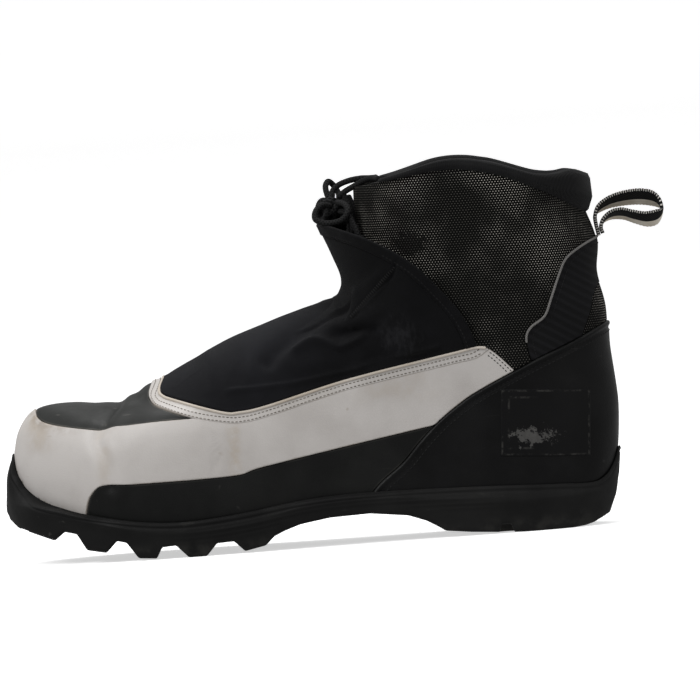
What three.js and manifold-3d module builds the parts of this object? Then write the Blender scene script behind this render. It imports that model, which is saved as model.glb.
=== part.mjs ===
// A cross country ski boot for the left foot, in millimetres: toe towards -X, outer side towards -Y, +Z up.
// Its upper is one smooth skin. Loops run round the boot from the edge of the sole, level 0, to the rim of
// the cuff, level 1. At angle 0 a loop crosses the front line, at PI the back line, and in between the outer
// side. The lining, the stiffeners and the panels are layers of that skin, cut apart along seams.
import * as THREE from "three";
import { mergeVertices } from "three/addons/utils/BufferGeometryUtils.js";
import Module from "manifold-3d";

const wasm = await Module();
wasm.setup();

// ---------------------------------------------------------------- driving dimensions
const GAP = 0.35; // clearance between neighbouring pieces
const LEVELS = 17; // loops in a layer of the upper
const STEPS = 36; // points round a loop, an even number
const CROWDING = { turn: 0.22, amount: 0.06 };
const CORD_SIDES = 6; // flats round a cord
const REACH = 90; // half depth of a cut across the boot

const FRONT_LINE = [
  [-157, 30], [-162, 42], [-163, 54], [-159.6, 68], [-150, 77.8], [-131, 80], [-112, 80],
  [-94, 86], [-60, 93], [-25, 103], [0, 111], [12.5, 125], [14.5, 142], [14.5, 160], [15, 177],
];
const BACK_LINE = [
  [131, 15], [136.3, 34], [138.6, 60], [136.7, 88], [136.6, 108], [133.3, 126], [134.9, 142], [130.5, 156.6],
];
const FEATHER_HEIGHT = [
  [-157, 30], [-140, 26], [-120, 18.5], [-100, 13], [-70, 11], [-45, 14], [-20, 20], [10, 21.5],
  [45, 18.5], [80, 15], [131, 15],
];
const RIM_HEIGHT = [[15, 177], [31, 179.4], [62, 183.2], [86, 179.1], [109, 169], [130.5, 156.6]];
const RIDGE_HEIGHT = [
  [-165, 66], [-150, 78], [-112, 80], [-94, 86], [-60, 93], [-25, 103], [0, 113], [8, 135], [14, 190],
  [30, 330], [60, 500], [140, 700],
];
const FOOT_HALF_WIDTH = [
  [-165, 31], [-150, 38], [-130, 44], [-105, 48], [-82, 48.5], [-55, 45.5], [-20, 40], [20, 36.5],
  [60, 35], [100, 34.5], [138, 33],
];
const CUFF_HALF_WIDTH = [[60, 35], [90, 36.5], [115, 37.5], [135, 39], [155, 41.5], [180, 43.5]];
const FOOT_CENTRE = [[-165, 6], [-130, 4], [-90, 1], [-30, -1.5], [30, 0], [138, 0]];
const FRONT_ROUNDING = [[0, 58], [0.3, 52], [0.55, 40], [0.75, 38], [1, 38]];
const BACK_ROUNDING = 44;
const WIDEST_HEIGHT = 34;
const RIDGE_MARGIN = 8;
const DOME_POWER = 2.4;

// Layers, as distances out from the skin.
const TONGUE = [-11.4, -8.2];
const LINING = [-6.7, -4.1];
const STIFFENER = [-3.2, -2.2];
const PANEL = [-1.3, 0];
const GAITER_THICKNESS = 1.4;
const HEM_THICKNESS = 2.6;

const RAND_HEIGHT = [
  [-163, 59], [-162, 52], [-159.6, 43], [-154.6, 36], [-146.5, 30], [-129, 24.4], [-103, 18.7],
  [-82, 16.9], [-54, 18.6], [-20, 22.9], [9, 24], [62, 22.8], [108, 21.7], [126, 22], [133, 28], [139, 36],
];
const TREAD_LINE = [
  [-175, 40], [-168.4, 31], [-166.5, 23.5], [-162, 19], [-146.3, 12], [-141, 16.5], [-134.6, 15], [-130, 6.7],
  [-120.7, 5], [-115, 10.6], [-110, 9.4], [-104.5, 1.3], [-95.5, 0.6], [-92.5, 6], [-85.5, 6.4], [-79.5, 0],
  [-70.5, 0], [-65, 6], [-56.5, 6.3], [-51.3, 1], [-41, 3], [-36.3, 7.3], [-31, 9.6], [-23, 12.2], [-8, 14.4],
  [12, 14.9], [31, 12.4], [40, 9], [46, 5.2], [50, 1.4], [55, 0], [76, 0], [76.6, 3], [82, 3], [82.6, 0],
  [118, 0], [123, 1.6], [131.5, 5.6], [135.5, 15], [137.5, 24], [145, 40],
];
const SOLE_BULGE = [[-160, 12], [-150, 10.5], [-125, 5.6], [140, 5.6]];
const GUIDE_GROOVE = {
  inner: 9,
  width: 8,
  floor: [
    [-141, 22], [-130, 11], [-104, 5], [-60, 4.2], [-40, 8], [-30, 10.5], [-20, 12.5], [30, 11], [46, 7],
    [52, 4.2], [124, 4.2],
  ],
};
const BAR = { x: -154, y: 4, z: 18.8, radius: 2, halfLength: 15.5 };
const TOE_PLATE = { front: -161, back: -146.5, halfWidth: 17, top: 24.4, recess: 11, roof: 22.4 };
const LASTING_BOARD = 2;
const SHANK = { inset: 16, thickness: 1.4, front: -62, back: 96 };

// Seams in the side view, each as the points of a smooth curve in X and Z.
const TOE_SEAM = [
  [-144, 90], [-150.6, 78], [-150, 72.6], [-143.9, 69.4], [-131.7, 66.9], [-121.8, 65.4], [-113, 66.2],
  [-91.5, 67.6], [-78, 67.9], [-68, 68.2],
];
const BINDING_SEAM = [
  [-84, 104], [-91, 88], [-94, 81], [-91.9, 76.2], [-86.6, 73.3], [-72, 67.8], [-58, 64.6], [-49, 63.8],
  [-35, 66], [7, 76.3], [56, 84.8], [72, 88], [84, 98],
];
const THROAT_SEAM = [
  [-76, 104], [-85, 89.5], [-88.1, 83], [-86.6, 80], [-79.5, 77.2], [-57.8, 70.2], [-49.3, 69.6],
  [-35.1, 71.7], [7.3, 81.9], [59.1, 91.1], [71, 93], [78.1, 90.8], [88.4, 80.3], [92, 74],
];
const STRIPE_SEAM = [
  [-131, 6], [-128, 28], [-124, 34.8], [-118.5, 37.7], [-101.5, 37.6], [-54.8, 38.2], [-40.9, 41.2],
  [-0.7, 47.9], [48.4, 55.8], [58, 57],
];
const COUNTER_SEAM = [
  [0, 4], [14.7, 25.6], [29.6, 37.9], [39.4, 48.2], [49, 57.2], [59.7, 65], [70.5, 71.3], [96.9, 83.4],
  [123.3, 94.3], [148, 106],
];
const ACHILLES_SEAM = [
  [148, 146], [133.6, 142.1], [124.9, 138.1], [118.5, 133.5], [114.9, 127], [110, 115.3], [105.8, 106],
  [99, 101.2], [96.1, 96.8], [96.3, 90], [98.6, 80],
];
const HEEL_MESH_SEAM = [[148, 123], [134.5, 119.6], [130.7, 114], [128.5, 105.8], [121, 88]];
const TOE_LINING_SEAM = [[-96, -30], [-96, 40], [-96, 120]];
const VAMP_LINING_SEAM = [[-25, -30], [-25, 100], [-25, 200]];
const STAY_SEAM = [[36, 74], [27, 96], [20, 120], [10, 140], [-20, 160]];
const HEM_LINE = [
  [77, 78], [71.4, 92.1], [69, 100], [64, 110.8], [54.9, 122.9], [42.4, 136.5], [24, 148.7], [7.2, 156],
  [-5.5, 159.4], [-34, 163],
];
const GUSSET_SEAM = [[-34, 120], [5, 120], [16.7, 121.9], [28, 131], [34, 138.3], [44, 152]];
const HEM_WIDTH = 5.5;

// How far the gaiter stands off the skin.
const GAITER_RISE = [[-92, 0], [-78.7, 3], [-68, 5.5], [-58, 7.8], [-45, 9], [-20, 9.6], [2, 9], [9.5, 5.4]];
const FUNNEL_RISE = [[120, 0], [126, 0.5], [136, 3], [146, 6.5], [160, 11.5], [177, 15]];
const THROAT_HEIGHT = [[-88, 82], [-72, 74], [-50, 69.6], [-35, 71.7], [7, 82], [59, 91], [71, 93]];
const GAITER_TOP = [[-90, 88], [-60, 93], [-25, 103], [0, 113], [14, 124]];
const GAITER_REACH = 12;
const GAITER_CLOSES = { from: 10, to: 75, share: 0.9 };

const SLIT = [[-70, 8], [-30, 12], [5, 14], [34, 15.5]]; // half width of the laced slit along X
const TONGUE_SHAPE = [[-52, 60], [-52, 140], [5, 215], [52, 215], [44, 150], [32, 118], [0, 84]];
const TONGUE_HALF_WIDTH = 21;
const LACE_ROWS = [0.56, 0.65, 0.74, 0.83, 0.905]; // levels of the lace loops
const LACE_LOOP = { aside: 18, ring: 2.6, thread: 0.5, lift: 3.9 };
const LACE_RADIUS = 1.5;
const KNOT = { middle: [5, 0, 166.5], size: [4.4, 6.2, 4.4] };
const LACE_END = [[11, 13.5, 164.4], [8, 7.6, 165]]; // from the top loop to the knot, on either side

// The tied bundle in front of the cuff: two loops, and two tails that lie on top of the tongue.
const TIED = {
  lace_bow_lateral: [
    [3, -7.4, 168.4], [-1, -10.5, 169], [-4.3, -13.5, 166], [-4.6, -15.5, 162.4], [-1, -16.8, 160.4],
    [4, -17.5, 160], [9, -17.8, 161.4], [12, -17.5, 165.2], [10.6, -14, 168.6], [6.6, -8.2, 169.9],
  ],
  lace_bow_medial: [
    [3.6, 7.4, 169.6], [2, 9.4, 174], [1.6, 12, 178], [3.2, 15, 180], [5.8, 16.5, 177.5], [8.2, 14.6, 172.5],
    [8.2, 8.6, 168.9],
  ],
  lace_tail_lateral: [
    [7.6, -3.4, 172.2], [11, -4.5, 174.2], [16, -5.5, 176.8], [20.5, -7, 179.4], [24.2, -9.6, 180.6],
    [26.4, -13.2, 180.6], [28.2, -19.6, 180.4],
  ],
  lace_tail_medial: [
    [4.6, 2.4, 172.8], [4.8, 3.4, 176], [7.4, 4.2, 179.4], [13, 4.8, 181.6], [19, 5.6, 182], [23.4, 8, 181.4],
    [25.6, 12, 180.8], [27, 16.4, 180.6],
  ],
};
const COLLAR_HEIGHT = [
  [15, 1.6], [31, 3], [46, 4.2], [60, 4.3], [88, 5], [107, 8], [118, 13], [125, 17], [131, 17.5],
];
const PULL_LOOP = [
  [136.8, 143.6], [134.2, 154.6], [136.6, 159.9], [141.3, 162.6], [151.8, 164.1], [158, 163.9],
  [163.2, 162.5], [166, 159.6], [166.4, 156.6], [164.9, 154], [161.2, 152.6], [155.6, 154.3], [148, 157],
  [143, 156.4], [139.9, 152.6], [139.4, 144.6],
];
const WEBBING = { width: 12.5, thickness: 1.5, twist: 0.6 };

// ---------------------------------------------------------------- small helpers
const mix = (a, b, t) => a + (b - a) * t;
const clamp01 = (t) => Math.min(1, Math.max(0, t));
const smooth = (low, high, value) => {
  const t = clamp01((value - low) / (high - low));
  return t * t * (3 - 2 * t);
};
const range = (count) => Array.from({ length: count }, (_, i) => i);

// A smooth function through [input, output] points, which keeps its end values outside them.
function graph(points) {
  const slope = (i) => {
    const [a, b] = [points[Math.max(i - 1, 0)], points[Math.min(i + 1, points.length - 1)]];
    return (b[1] - a[1]) / (b[0] - a[0]);
  };
  return (x) => {
    if (x <= points[0][0]) return points[0][1];
    if (x >= points.at(-1)[0]) return points.at(-1)[1];
    const i = points.findIndex((p) => p[0] > x) - 1;
    const [[x0, y0], [x1, y1]] = [points[i], points[i + 1]];
    const span = x1 - x0;
    const t = (x - x0) / span;
    const [m0, m1] = [slope(i) * span, slope(i + 1) * span];
    const ends = y0 * (1 + 2 * t) * (1 - t) ** 2 + y1 * t * t * (3 - 2 * t);
    return ends + m0 * t * (1 - t) ** 2 + m1 * t * t * (t - 1);
  };
}

const spline = (points) => new THREE.SplineCurve(points.map(([x, z]) => new THREE.Vector2(x, z)));

function solidOf(geometry) {
  const bare = geometry.clone();
  bare.deleteAttribute("normal");
  bare.deleteAttribute("uv");
  const merged = mergeVertices(bare, 1e-4);
  return new wasm.Manifold(
    new wasm.Mesh({
      numProp: 3,
      vertProperties: new Float32Array(merged.attributes.position.array),
      triVerts: new Uint32Array(merged.index.array),
    }),
  );
}

function geometryOf(solid) {
  const mesh = solid.getMesh();
  const geometry = new THREE.BufferGeometry();
  geometry.setAttribute("position", new THREE.BufferAttribute(new Float32Array(mesh.vertProperties), 3));
  geometry.setIndex(new THREE.BufferAttribute(new Uint32Array(mesh.triVerts), 1));
  geometry.computeVertexNormals();
  return geometry;
}

// A closed surface through rings of points: sections[i][j]. Wrapped, the last section joins the first;
// otherwise strips from each end ring's first half across to its second half close the ends.
function loft(sections, wrapped = false) {
  const across = sections[0].length;
  const index = [];
  for (const i of range(wrapped ? sections.length : sections.length - 1)) {
    for (const j of range(across)) {
      const [a, b] = [i * across + j, i * across + ((j + 1) % across)];
      const [c, d] = [a, b].map((v) => (v + across) % (across * sections.length));
      index.push(a, b, d, a, d, c);
    }
  }
  const ends = wrapped ? [] : [[0, true], [sections.length - 1, false]];
  for (const [ring, flip] of ends) {
    for (const j of range(across / 2 - 1)) {
      const [a, b] = [ring * across + j, ring * across + j + 1];
      const [c, d] = [ring * across + across - 2 - j, ring * across + across - 1 - j];
      index.push(...(flip ? [a, c, b, a, d, c] : [a, b, c, a, c, d]));
    }
  }
  const geometry = new THREE.BufferGeometry().setFromPoints(sections.flat());
  geometry.setIndex(index);
  const made = solidOf(geometry);
  return made.volume() > 0 ? made : solidOf(turnedInsideOut(geometry));
}

function turnedInsideOut(geometry) {
  const turned = geometry.clone();
  turned.setIndex([...geometry.index.array].reverse());
  return turned;
}

// A side view outline, given in X and Z, carried across the boot from one Y to another.
function acrossBoot(outline, from = -REACH, to = REACH) {
  const shape = new THREE.Shape(outline.map(([x, z]) => new THREE.Vector2(x, z)));
  const geometry = new THREE.ExtrudeGeometry(shape, { depth: to - from, bevelEnabled: false });
  return solidOf(geometry.rotateX(Math.PI / 2).translate(0, to, 0));
}

// A plan view outline, given in X and Y, carried up from one Z to another.
function upThrough(outline, from, to) {
  const shape = new THREE.Shape(outline.map(([x, y]) => new THREE.Vector2(x, y)));
  const geometry = new THREE.ExtrudeGeometry(shape, { depth: to - from, bevelEnabled: false });
  return solidOf(geometry.translate(0, 0, from));
}

function box(low, high) {
  const size = high.map((v, i) => v - low[i]);
  const middle = high.map((v, i) => (v + low[i]) / 2);
  return solidOf(new THREE.BoxGeometry(...size).translate(...middle));
}

// A round cord along a smooth curve through points.
function cord(points, radius, steps) {
  const path = new THREE.CatmullRomCurve3(points, false, "centripetal");
  const ring = new THREE.Shape(range(CORD_SIDES).map((i) => {
    const turn = ((i + 0.5) / CORD_SIDES) * 2 * Math.PI;
    return new THREE.Vector2(radius * Math.cos(turn), radius * Math.sin(turn));
  }));
  const made = solidOf(new THREE.ExtrudeGeometry(ring, { steps, extrudePath: path }));
  return made.volume() > 0
    ? made
    : solidOf(turnedInsideOut(new THREE.ExtrudeGeometry(ring, { steps, extrudePath: path })));
}

// The curve a given distance to the left of a seam, as points.
function beside(points, distance, count = 20) {
  const line = spline(points);
  return range(count + 1).map((i) => {
    const [p, t] = [line.getPointAt(i / count), line.getTangentAt(i / count)];
    return [p.x - t.y * distance, p.y + t.x * distance];
  });
}

// A thin wall across the boot that follows a seam and leaves the gap between two panels.
function seamWall(points, shift = 0, from = -REACH, to = REACH) {
  const [left, right] = [beside(points, shift + GAP / 2), beside(points, shift - GAP / 2)];
  return acrossBoot([...left, ...right.reverse()], from, to);
}

const cutApart = (body, ...walls) => walls.reduce((rest, wall) => rest.subtract(wall), body).decompose();

// The body that a rod across one half of the boot, at x and z, passes through.
function bodyAt(bodies, x, z, side = -1) {
  const probe = box([x - 0.4, side < 0 ? -REACH : 0, z - 0.4], [x + 0.4, side < 0 ? 0 : REACH, z + 0.4]);
  const shares = bodies.map((body) => body.intersect(probe).volume());
  return bodies[shares.indexOf(Math.max(...shares))];
}

function largest(body) {
  return body.decompose().reduce((best, other) => (other.volume() > best.volume() ? other : best));
}

// ---------------------------------------------------------------- the skin of the upper
const frontLine = spline(FRONT_LINE);
const backLine = spline(BACK_LINE);
const featherHeight = graph(FEATHER_HEIGHT);
const rimHeight = graph(RIM_HEIGHT);
const ridgeHeight = graph(RIDGE_HEIGHT);
const footHalfWidth = graph(FOOT_HALF_WIDTH);
const cuffHalfWidth = graph(CUFF_HALF_WIDTH);
const footCentre = graph(FOOT_CENTRE);
const frontRounding = graph(FRONT_ROUNDING);
const [frontFoot, backFoot] = [frontLine.getPointAt(0), backLine.getPointAt(0)];
const [frontRim, backRim] = [frontLine.getPointAt(1), backLine.getPointAt(1)];

function halfWidth(x, z) {
  const wide = mix(footHalfWidth(x), cuffHalfWidth(z), smooth(60, 115, z));
  if (z < WIDEST_HEIGHT) return wide * (1 - 0.07 * ((WIDEST_HEIGHT - z) / 20) ** 2);
  const rise = clamp01((z - WIDEST_HEIGHT) / (ridgeHeight(x) + RIDGE_MARGIN - WIDEST_HEIGHT));
  return wide * (1 - rise ** DOME_POWER) ** (1 / DOME_POWER);
}

function centreline(level, along) {
  const [front, back] = [frontLine.getPointAt(clamp01(level)), backLine.getPointAt(clamp01(level))];
  const footX = mix(frontFoot.x, backFoot.x, along);
  const rimX = mix(frontRim.x, backRim.x, along);
  const sag = featherHeight(footX) - mix(frontFoot.y, backFoot.y, along);
  const arch = rimHeight(rimX) - mix(frontRim.y, backRim.y, along);
  const z = mix(front.y, back.y, along) + sag * (1 - level) ** 3 + arch * level ** 2;
  return { x: mix(front.x, back.x, along), z, length: back.x - front.x };
}

const rounding = (distance, radius) => Math.sqrt(1 - (1 - clamp01(distance / radius)) ** 2);

function skin(level, angle) {
  const along = (1 - Math.cos(angle)) / 2;
  const { x, z, length } = centreline(level, along);
  const front = rounding(along * length, frontRounding(level));
  const back = rounding((1 - along) * length, BACK_ROUNDING);
  const centre = footCentre(x) * (1 - smooth(80, 130, z));
  const side = Math.sin(angle) >= 0 ? -1 : 1;
  return new THREE.Vector3(x, centre + side * halfWidth(x, z) * front * back, z);
}

function outward(level, angle, reach = 1) {
  const [low, high] = [Math.max(level - 0.004 * reach, 0), Math.min(level + 0.004 * reach, 1)];
  const up = skin(high, angle).sub(skin(low, angle));
  const round = skin(level, angle + 0.02 * reach).sub(skin(level, angle - 0.02 * reach));
  return round.cross(up).normalize();
}

const onSkin = (level, angle, offset) => skin(level, angle).addScaledVector(outward(level, angle), offset);
const angleAt = (i) => ((i + 0.5) / STEPS) * 2 * Math.PI;

// Levels crowd together where the instep turns up into the cuff.
function levelAt(j) {
  const { turn, amount } = CROWDING;
  const t = j / (LEVELS - 1);
  return t + amount * (Math.sin(2 * Math.PI * (t - turn)) + Math.sin(2 * Math.PI * turn));
}

// The level and angle of the skin's point at x and z, on the outer side for side -1.
function findOnSkin(x, z, side) {
  const alongAt = (level) => {
    const [front, back] = [frontLine.getPointAt(level), backLine.getPointAt(level)];
    return clamp01((x - front.x) / (back.x - front.x));
  };
  let [low, high] = [0, 1];
  for (const pass of range(26)) {
    const middle = (low + high) / 2;
    if (pass < 26 && centreline(middle, alongAt(middle)).z < z) low = middle;
    else high = middle;
  }
  const angle = Math.acos(1 - 2 * alongAt(low));
  return [low, side < 0 ? angle : -angle];
}

const place = (x, z, side, offset) => onSkin(...findOnSkin(x, z, side), offset);

// The skin's point on one level that is a distance aside of the front line.
function besideFrontLine(level, aside, offset) {
  let [low, high] = [0, Math.PI / 2];
  for (const pass of range(26)) {
    const middle = (low + high) / 2;
    const y = Math.abs(skin(level, middle).y - skin(level, 0).y);
    if (pass < 26 && y < Math.abs(aside)) low = middle;
    else high = middle;
  }
  return onSkin(level, aside < 0 ? low : -low, offset);
}

// A layer of the upper between two distances from the skin; a distance is a number or a function of x and z.
// A longer reach takes the outward direction from a wider stretch of skin, so a thick offset stays smooth.
function layer([inner, outer], reach = 1) {
  const wall = (distance, angle) => range(LEVELS).map((j) => {
    const level = levelAt(j);
    const p = skin(level, angle);
    const off = typeof distance === "number" ? distance : distance(p.x, p.z);
    return p.addScaledVector(outward(level, angle, reach), off);
  });
  const section = (angle) => [...wall(outer, angle), ...wall(inner, angle).reverse()];
  return loft(range(STEPS).map((i) => section(angleAt(i))), true);
}

const upperBody = (offset) =>
  loft(range(LEVELS).map((j) => range(STEPS).map((i) => onSkin(levelAt(j), angleAt(i), offset))));

const slitOutline = (wider) => [
  ...SLIT.map(([x, y]) => [x - wider, y + wider]),
  ...SLIT.map(([x, y]) => [x - wider, -y - wider]).reverse(),
];

// ---------------------------------------------------------------- assembly
const boot = new THREE.Group();

function add(name, solid, colour, roughness, metalness = 0) {
  const material = new THREE.MeshStandardMaterial({ color: colour, roughness, metalness });
  const mesh = new THREE.Mesh(geometryOf(solid), material);
  mesh.name = name;
  boot.add(mesh);
}

const WHITE = "#c9c5c1";
const BLACK_LEATHER = "#1d1d1c";
const BLACK_FABRIC = "#15161a";
const BLACK_RUBBER = "#191919";
const MESH_GREY = "#34332e";
const LINING_GREY = "#3a3a3c";

// ---------------------------------------------------------------- sole unit
// How far out and how high the wall's lower corner is, with a squarer wall round the toe.
function wallCorner(angle) {
  const toe = smooth(-135, -152, skin(0, angle).x);
  return [mix(0.7, 0.93, toe), mix(-4, -8, toe)];
}

function soleBody() {
  const bulge = graph(SOLE_BULGE);
  const rand = graph(RAND_HEIGHT);
  const featherPoint = (i, share, rise) => {
    const p = skin(0, angleAt(i));
    const n = outward(0.03, angleAt(i)).setZ(0).normalize();
    const out = bulge(p.x) * share;
    return new THREE.Vector3(p.x + n.x * out, p.y + n.y * out, rise === null ? -2 : p.z + rise);
  };
  const randPoint = (i) => {
    let [low, high] = [0, 0.5];
    for (const pass of range(24)) {
      const middle = (low + high) / 2;
      const p = skin(middle, angleAt(i));
      if (pass < 24 && p.z < rand(p.x)) low = middle;
      else high = middle;
    }
    return onSkin(low, angleAt(i), 2.3);
  };
  const around = range(STEPS);
  return loft([
    around.map((i) => featherPoint(i, 0.35, null)),
    around.map((i) => featherPoint(i, ...wallCorner(angleAt(i)))),
    around.map((i) => featherPoint(i, 1, 1.5)),
    around.map(randPoint),
  ]);
}

// A slab under the foot: inset from the skin's lower edge, between two heights above it.
function footSlab(inset, low, high, from = -200, to = 200) {
  const ring = (rise) => range(STEPS).map((i) => {
    const p = skin(0, angleAt(i));
    const n = outward(0.03, angleAt(i)).setZ(0).normalize();
    const x = p.x - n.x * inset;
    return new THREE.Vector3(x, p.y - n.y * inset, featherHeight(x) + rise);
  });
  return loft([ring(low), ring(high)]).intersect(box([from, -REACH, -10], [to, REACH, 60]));
}

function guideGroove(side) {
  const { inner, width, floor } = GUIDE_GROOVE;
  const edges = [side * inner + BAR.y / 2, side * (inner + width) + BAR.y / 2].sort((a, b) => a - b);
  return acrossBoot([...floor, [124, -10], [-141, -10]], ...edges);
}

const barRod = (radius, halfLength) =>
  solidOf(new THREE.CylinderGeometry(radius, radius, 2 * halfLength, 16).translate(BAR.x, BAR.y, BAR.z));

function toePlateBlock(margin) {
  const { front, back, halfWidth: half, top } = TOE_PLATE;
  const outline = [
    [front - margin, 16], [back + margin, 9], [back + margin, top + margin], [front - margin, top + margin],
  ];
  return acrossBoot(outline, BAR.y - half - margin, BAR.y + half + margin);
}

const boardFloor = -GAP - LASTING_BOARD;
const shankFloor = boardFloor - GAP - SHANK.thickness;
const toeOpening = (margin, top) => box(
  [TOE_PLATE.front - margin, BAR.y - TOE_PLATE.recess, -20],
  [TOE_PLATE.back + margin, BAR.y + TOE_PLATE.recess, top],
);
const treadProfile = acrossBoot([...TREAD_LINE, [145, 120], [-175, 120]]);

const outsole = [
  upperBody(GAP + 0.05),
  footSlab(-GAP, boardFloor - GAP, 1),
  footSlab(SHANK.inset - GAP, shankFloor - GAP, 0, SHANK.front - GAP, SHANK.back + GAP),
  toePlateBlock(GAP),
  toeOpening(GAP + 0.1, 20),
  guideGroove(-1),
  guideGroove(1),
].reduce((rest, tool) => rest.subtract(tool), soleBody().intersect(treadProfile));
add("outsole", largest(outsole), BLACK_RUBBER, 0.75);
add("lasting_board", footSlab(0, boardFloor, -GAP), "#8a7a5e", 0.9);
const shankBoard = footSlab(SHANK.inset, shankFloor, boardFloor - GAP, SHANK.front, SHANK.back);
add("shank_board", shankBoard, "#2b2d30", 0.5);
add("insole", footSlab(7.5, 0, 3.6), "#42444a", 0.95);
const toePlate = toePlateBlock(0).intersect(treadProfile).subtract(toeOpening(0.1, TOE_PLATE.roof));
add("toe_plate", toePlate.subtract(barRod(BAR.radius + 0.15, 30)), "#26272a", 0.55);
add("binding_bar", barRod(BAR.radius, BAR.halfLength), "#b9bcc0", 0.3, 1);

// ---------------------------------------------------------------- lining and stiffeners
const slitCut = upThrough(slitOutline(0), 60, 215);
const backCut = box([110, -GAP / 2, -20], [160, GAP / 2, 220]);
const liningSeams = [TOE_LINING_SEAM, VAMP_LINING_SEAM].map((seam) => seamWall(seam));
const linings = cutApart(layer(LINING), slitCut, backCut, ...liningSeams);
add("toe_lining", bodyAt(linings, -130, 50), LINING_GREY, 0.95);
add("vamp_lining", bodyAt(linings, -60, 50), LINING_GREY, 0.95);
add("quarter_lining_lateral", bodyAt(linings, 60, 80, -1), LINING_GREY, 0.95);
add("quarter_lining_medial", bodyAt(linings, 60, 80, 1), LINING_GREY, 0.95);

const stiffeners = cutApart(
  layer(STIFFENER),
  seamWall([[-112, -30], [-116, 40], [-124, 70], [-128, 110]]),
  seamWall([[58, -30], [62, 40], [84, 66], [110, 79], [160, 90]]),
);
add("toe_puff", bodyAt(stiffeners, -140, 50), "#a8a294", 0.8);
add("heel_stiffener", bodyAt(stiffeners, 100, 40), "#a8a294", 0.8);

const tongueSide = acrossBoot(TONGUE_SHAPE, -TONGUE_HALF_WIDTH, TONGUE_HALF_WIDTH);
add("tongue", largest(layer(TONGUE).intersect(tongueSide)), BLACK_FABRIC, 0.95);

// ---------------------------------------------------------------- outer panels
const shell = layer(PANEL).subtract(slitCut);
const heelCut = cutApart(shell, seamWall(COUNTER_SEAM));
const [aboveCounter, counter] = [bodyAt(heelCut, 20, 100), bodyAt(heelCut, 110, 50)];
const parted = cutApart(aboveCounter, seamWall(THROAT_SEAM));
const lower = bodyAt(parted, -60, 50);
const unbound = cutApart(lower, seamWall(BINDING_SEAM));
const faced = cutApart(bodyAt(unbound, -60, 50), seamWall(TOE_SEAM));
const striped = cutApart(bodyAt(faced, -60, 50), seamWall(STRIPE_SEAM));
add("heel_counter", counter, BLACK_LEATHER, 0.45);
add("white_panel", bodyAt(striped, -60, 50), WHITE, 0.5);
add("toe_top_panel", bodyAt(faced, -120, 74), BLACK_LEATHER, 0.7);
add("throat_binding", bodyAt(unbound, -91, 82), WHITE, 0.55);
add("side_strip_lateral", bodyAt(striped, -60, 26, -1), BLACK_LEATHER, 0.7);
add("side_strip_medial", bodyAt(striped, -60, 26, 1), BLACK_LEATHER, 0.7);

const cuff = cutApart(bodyAt(parted, 60, 140), seamWall(ACHILLES_SEAM));
const cuffFront = cutApart(bodyAt(cuff, 60, 140), seamWall(STAY_SEAM), backCut);
const heelParts = cutApart(bodyAt(cuff, 125, 125), seamWall(HEEL_MESH_SEAM));
add("mesh_cuff_lateral", bodyAt(cuffFront, 80, 140, -1), MESH_GREY, 0.85);
add("mesh_cuff_medial", bodyAt(cuffFront, 80, 140, 1), MESH_GREY, 0.85);
add("eyestay", bodyAt(cuffFront, -20, 90), BLACK_FABRIC, 0.9);
add("achilles_panel", bodyAt(heelParts, 120, 125), BLACK_FABRIC, 0.8);
add("heel_mesh_insert", bodyAt(heelParts, 132, 105), MESH_GREY, 0.85);

// ---------------------------------------------------------------- gaiter over the laces
const gaiterRise = graph(GAITER_RISE);
const funnelRise = graph(FUNNEL_RISE);
const throatHeight = graph(THROAT_HEIGHT);
const gaiterTop = graph(GAITER_TOP);

function gaiterLift(x, z) {
  const { from, to, share } = GAITER_CLOSES;
  const up = smooth(0, 0.85, (z - throatHeight(x)) / (gaiterTop(x) - throatHeight(x)));
  return 0.6 + (gaiterRise(x) + funnelRise(z)) * up * (1 - share * smooth(from, to, x));
}

const gaiterWall = (low, high) =>
  layer([low, high].map((more) => (x, z) => gaiterLift(x, z) + more), GAITER_REACH);
const gaiterLayer = gaiterWall(0, GAITER_THICKNESS);
const hemLayer = gaiterWall(-GAP / 4, HEM_THICKNESS);
const hemWalls = [seamWall(HEM_LINE), seamWall(HEM_LINE, HEM_WIDTH), seamWall(THROAT_SEAM)];
const gaiterSkin = bodyAt(cutApart(gaiterLayer, ...hemWalls.slice(1)), -30, 95);
const gaiterParts = cutApart(gaiterSkin, seamWall(GUSSET_SEAM));
const hemBand = bodyAt(cutApart(hemLayer, ...hemWalls), 47, 128);
const hemParts = cutApart(hemBand, seamWall(GUSSET_SEAM));
add("gaiter_body", bodyAt(gaiterParts, -30, 95), BLACK_FABRIC, 0.85);
add("gaiter_gusset", bodyAt(gaiterParts, 14, 135), BLACK_FABRIC, 0.85);
add("gaiter_hem_front", bodyAt(hemParts, 10, 152), BLACK_FABRIC, 0.85);
add("gaiter_hem_lateral", bodyAt(hemParts, 58, 114, -1), BLACK_FABRIC, 0.85);
add("gaiter_hem_medial", bodyAt(hemParts, 58, 114, 1), BLACK_FABRIC, 0.85);

// ---------------------------------------------------------------- collar, piping and pull loop
const collarHeight = graph(COLLAR_HEIGHT);
const COLLAR_PROFILE = [
  [0.7, 0], [1.5, 0.5], [0.4, 0.92], [-2.6, 1], [-6, 0.95], [-8, 0.6], [-8.4, 0.3], [-7, 0],
];

function collarSection(angle) {
  const height = collarHeight(skin(1, angle).x);
  const raise = (up) => new THREE.Vector3(0, 0, GAP + 0.3 + up * height);
  return COLLAR_PROFILE.map(([out, up]) => onSkin(1, angle, out).add(raise(up)));
}

const collarTurns = range(37).map((i) => mix(0.66, 2 * Math.PI - 0.66, i / 36));
add("collar_pad", loft(collarTurns.map(collarSection)), "#1a1a1c", 0.95);

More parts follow.
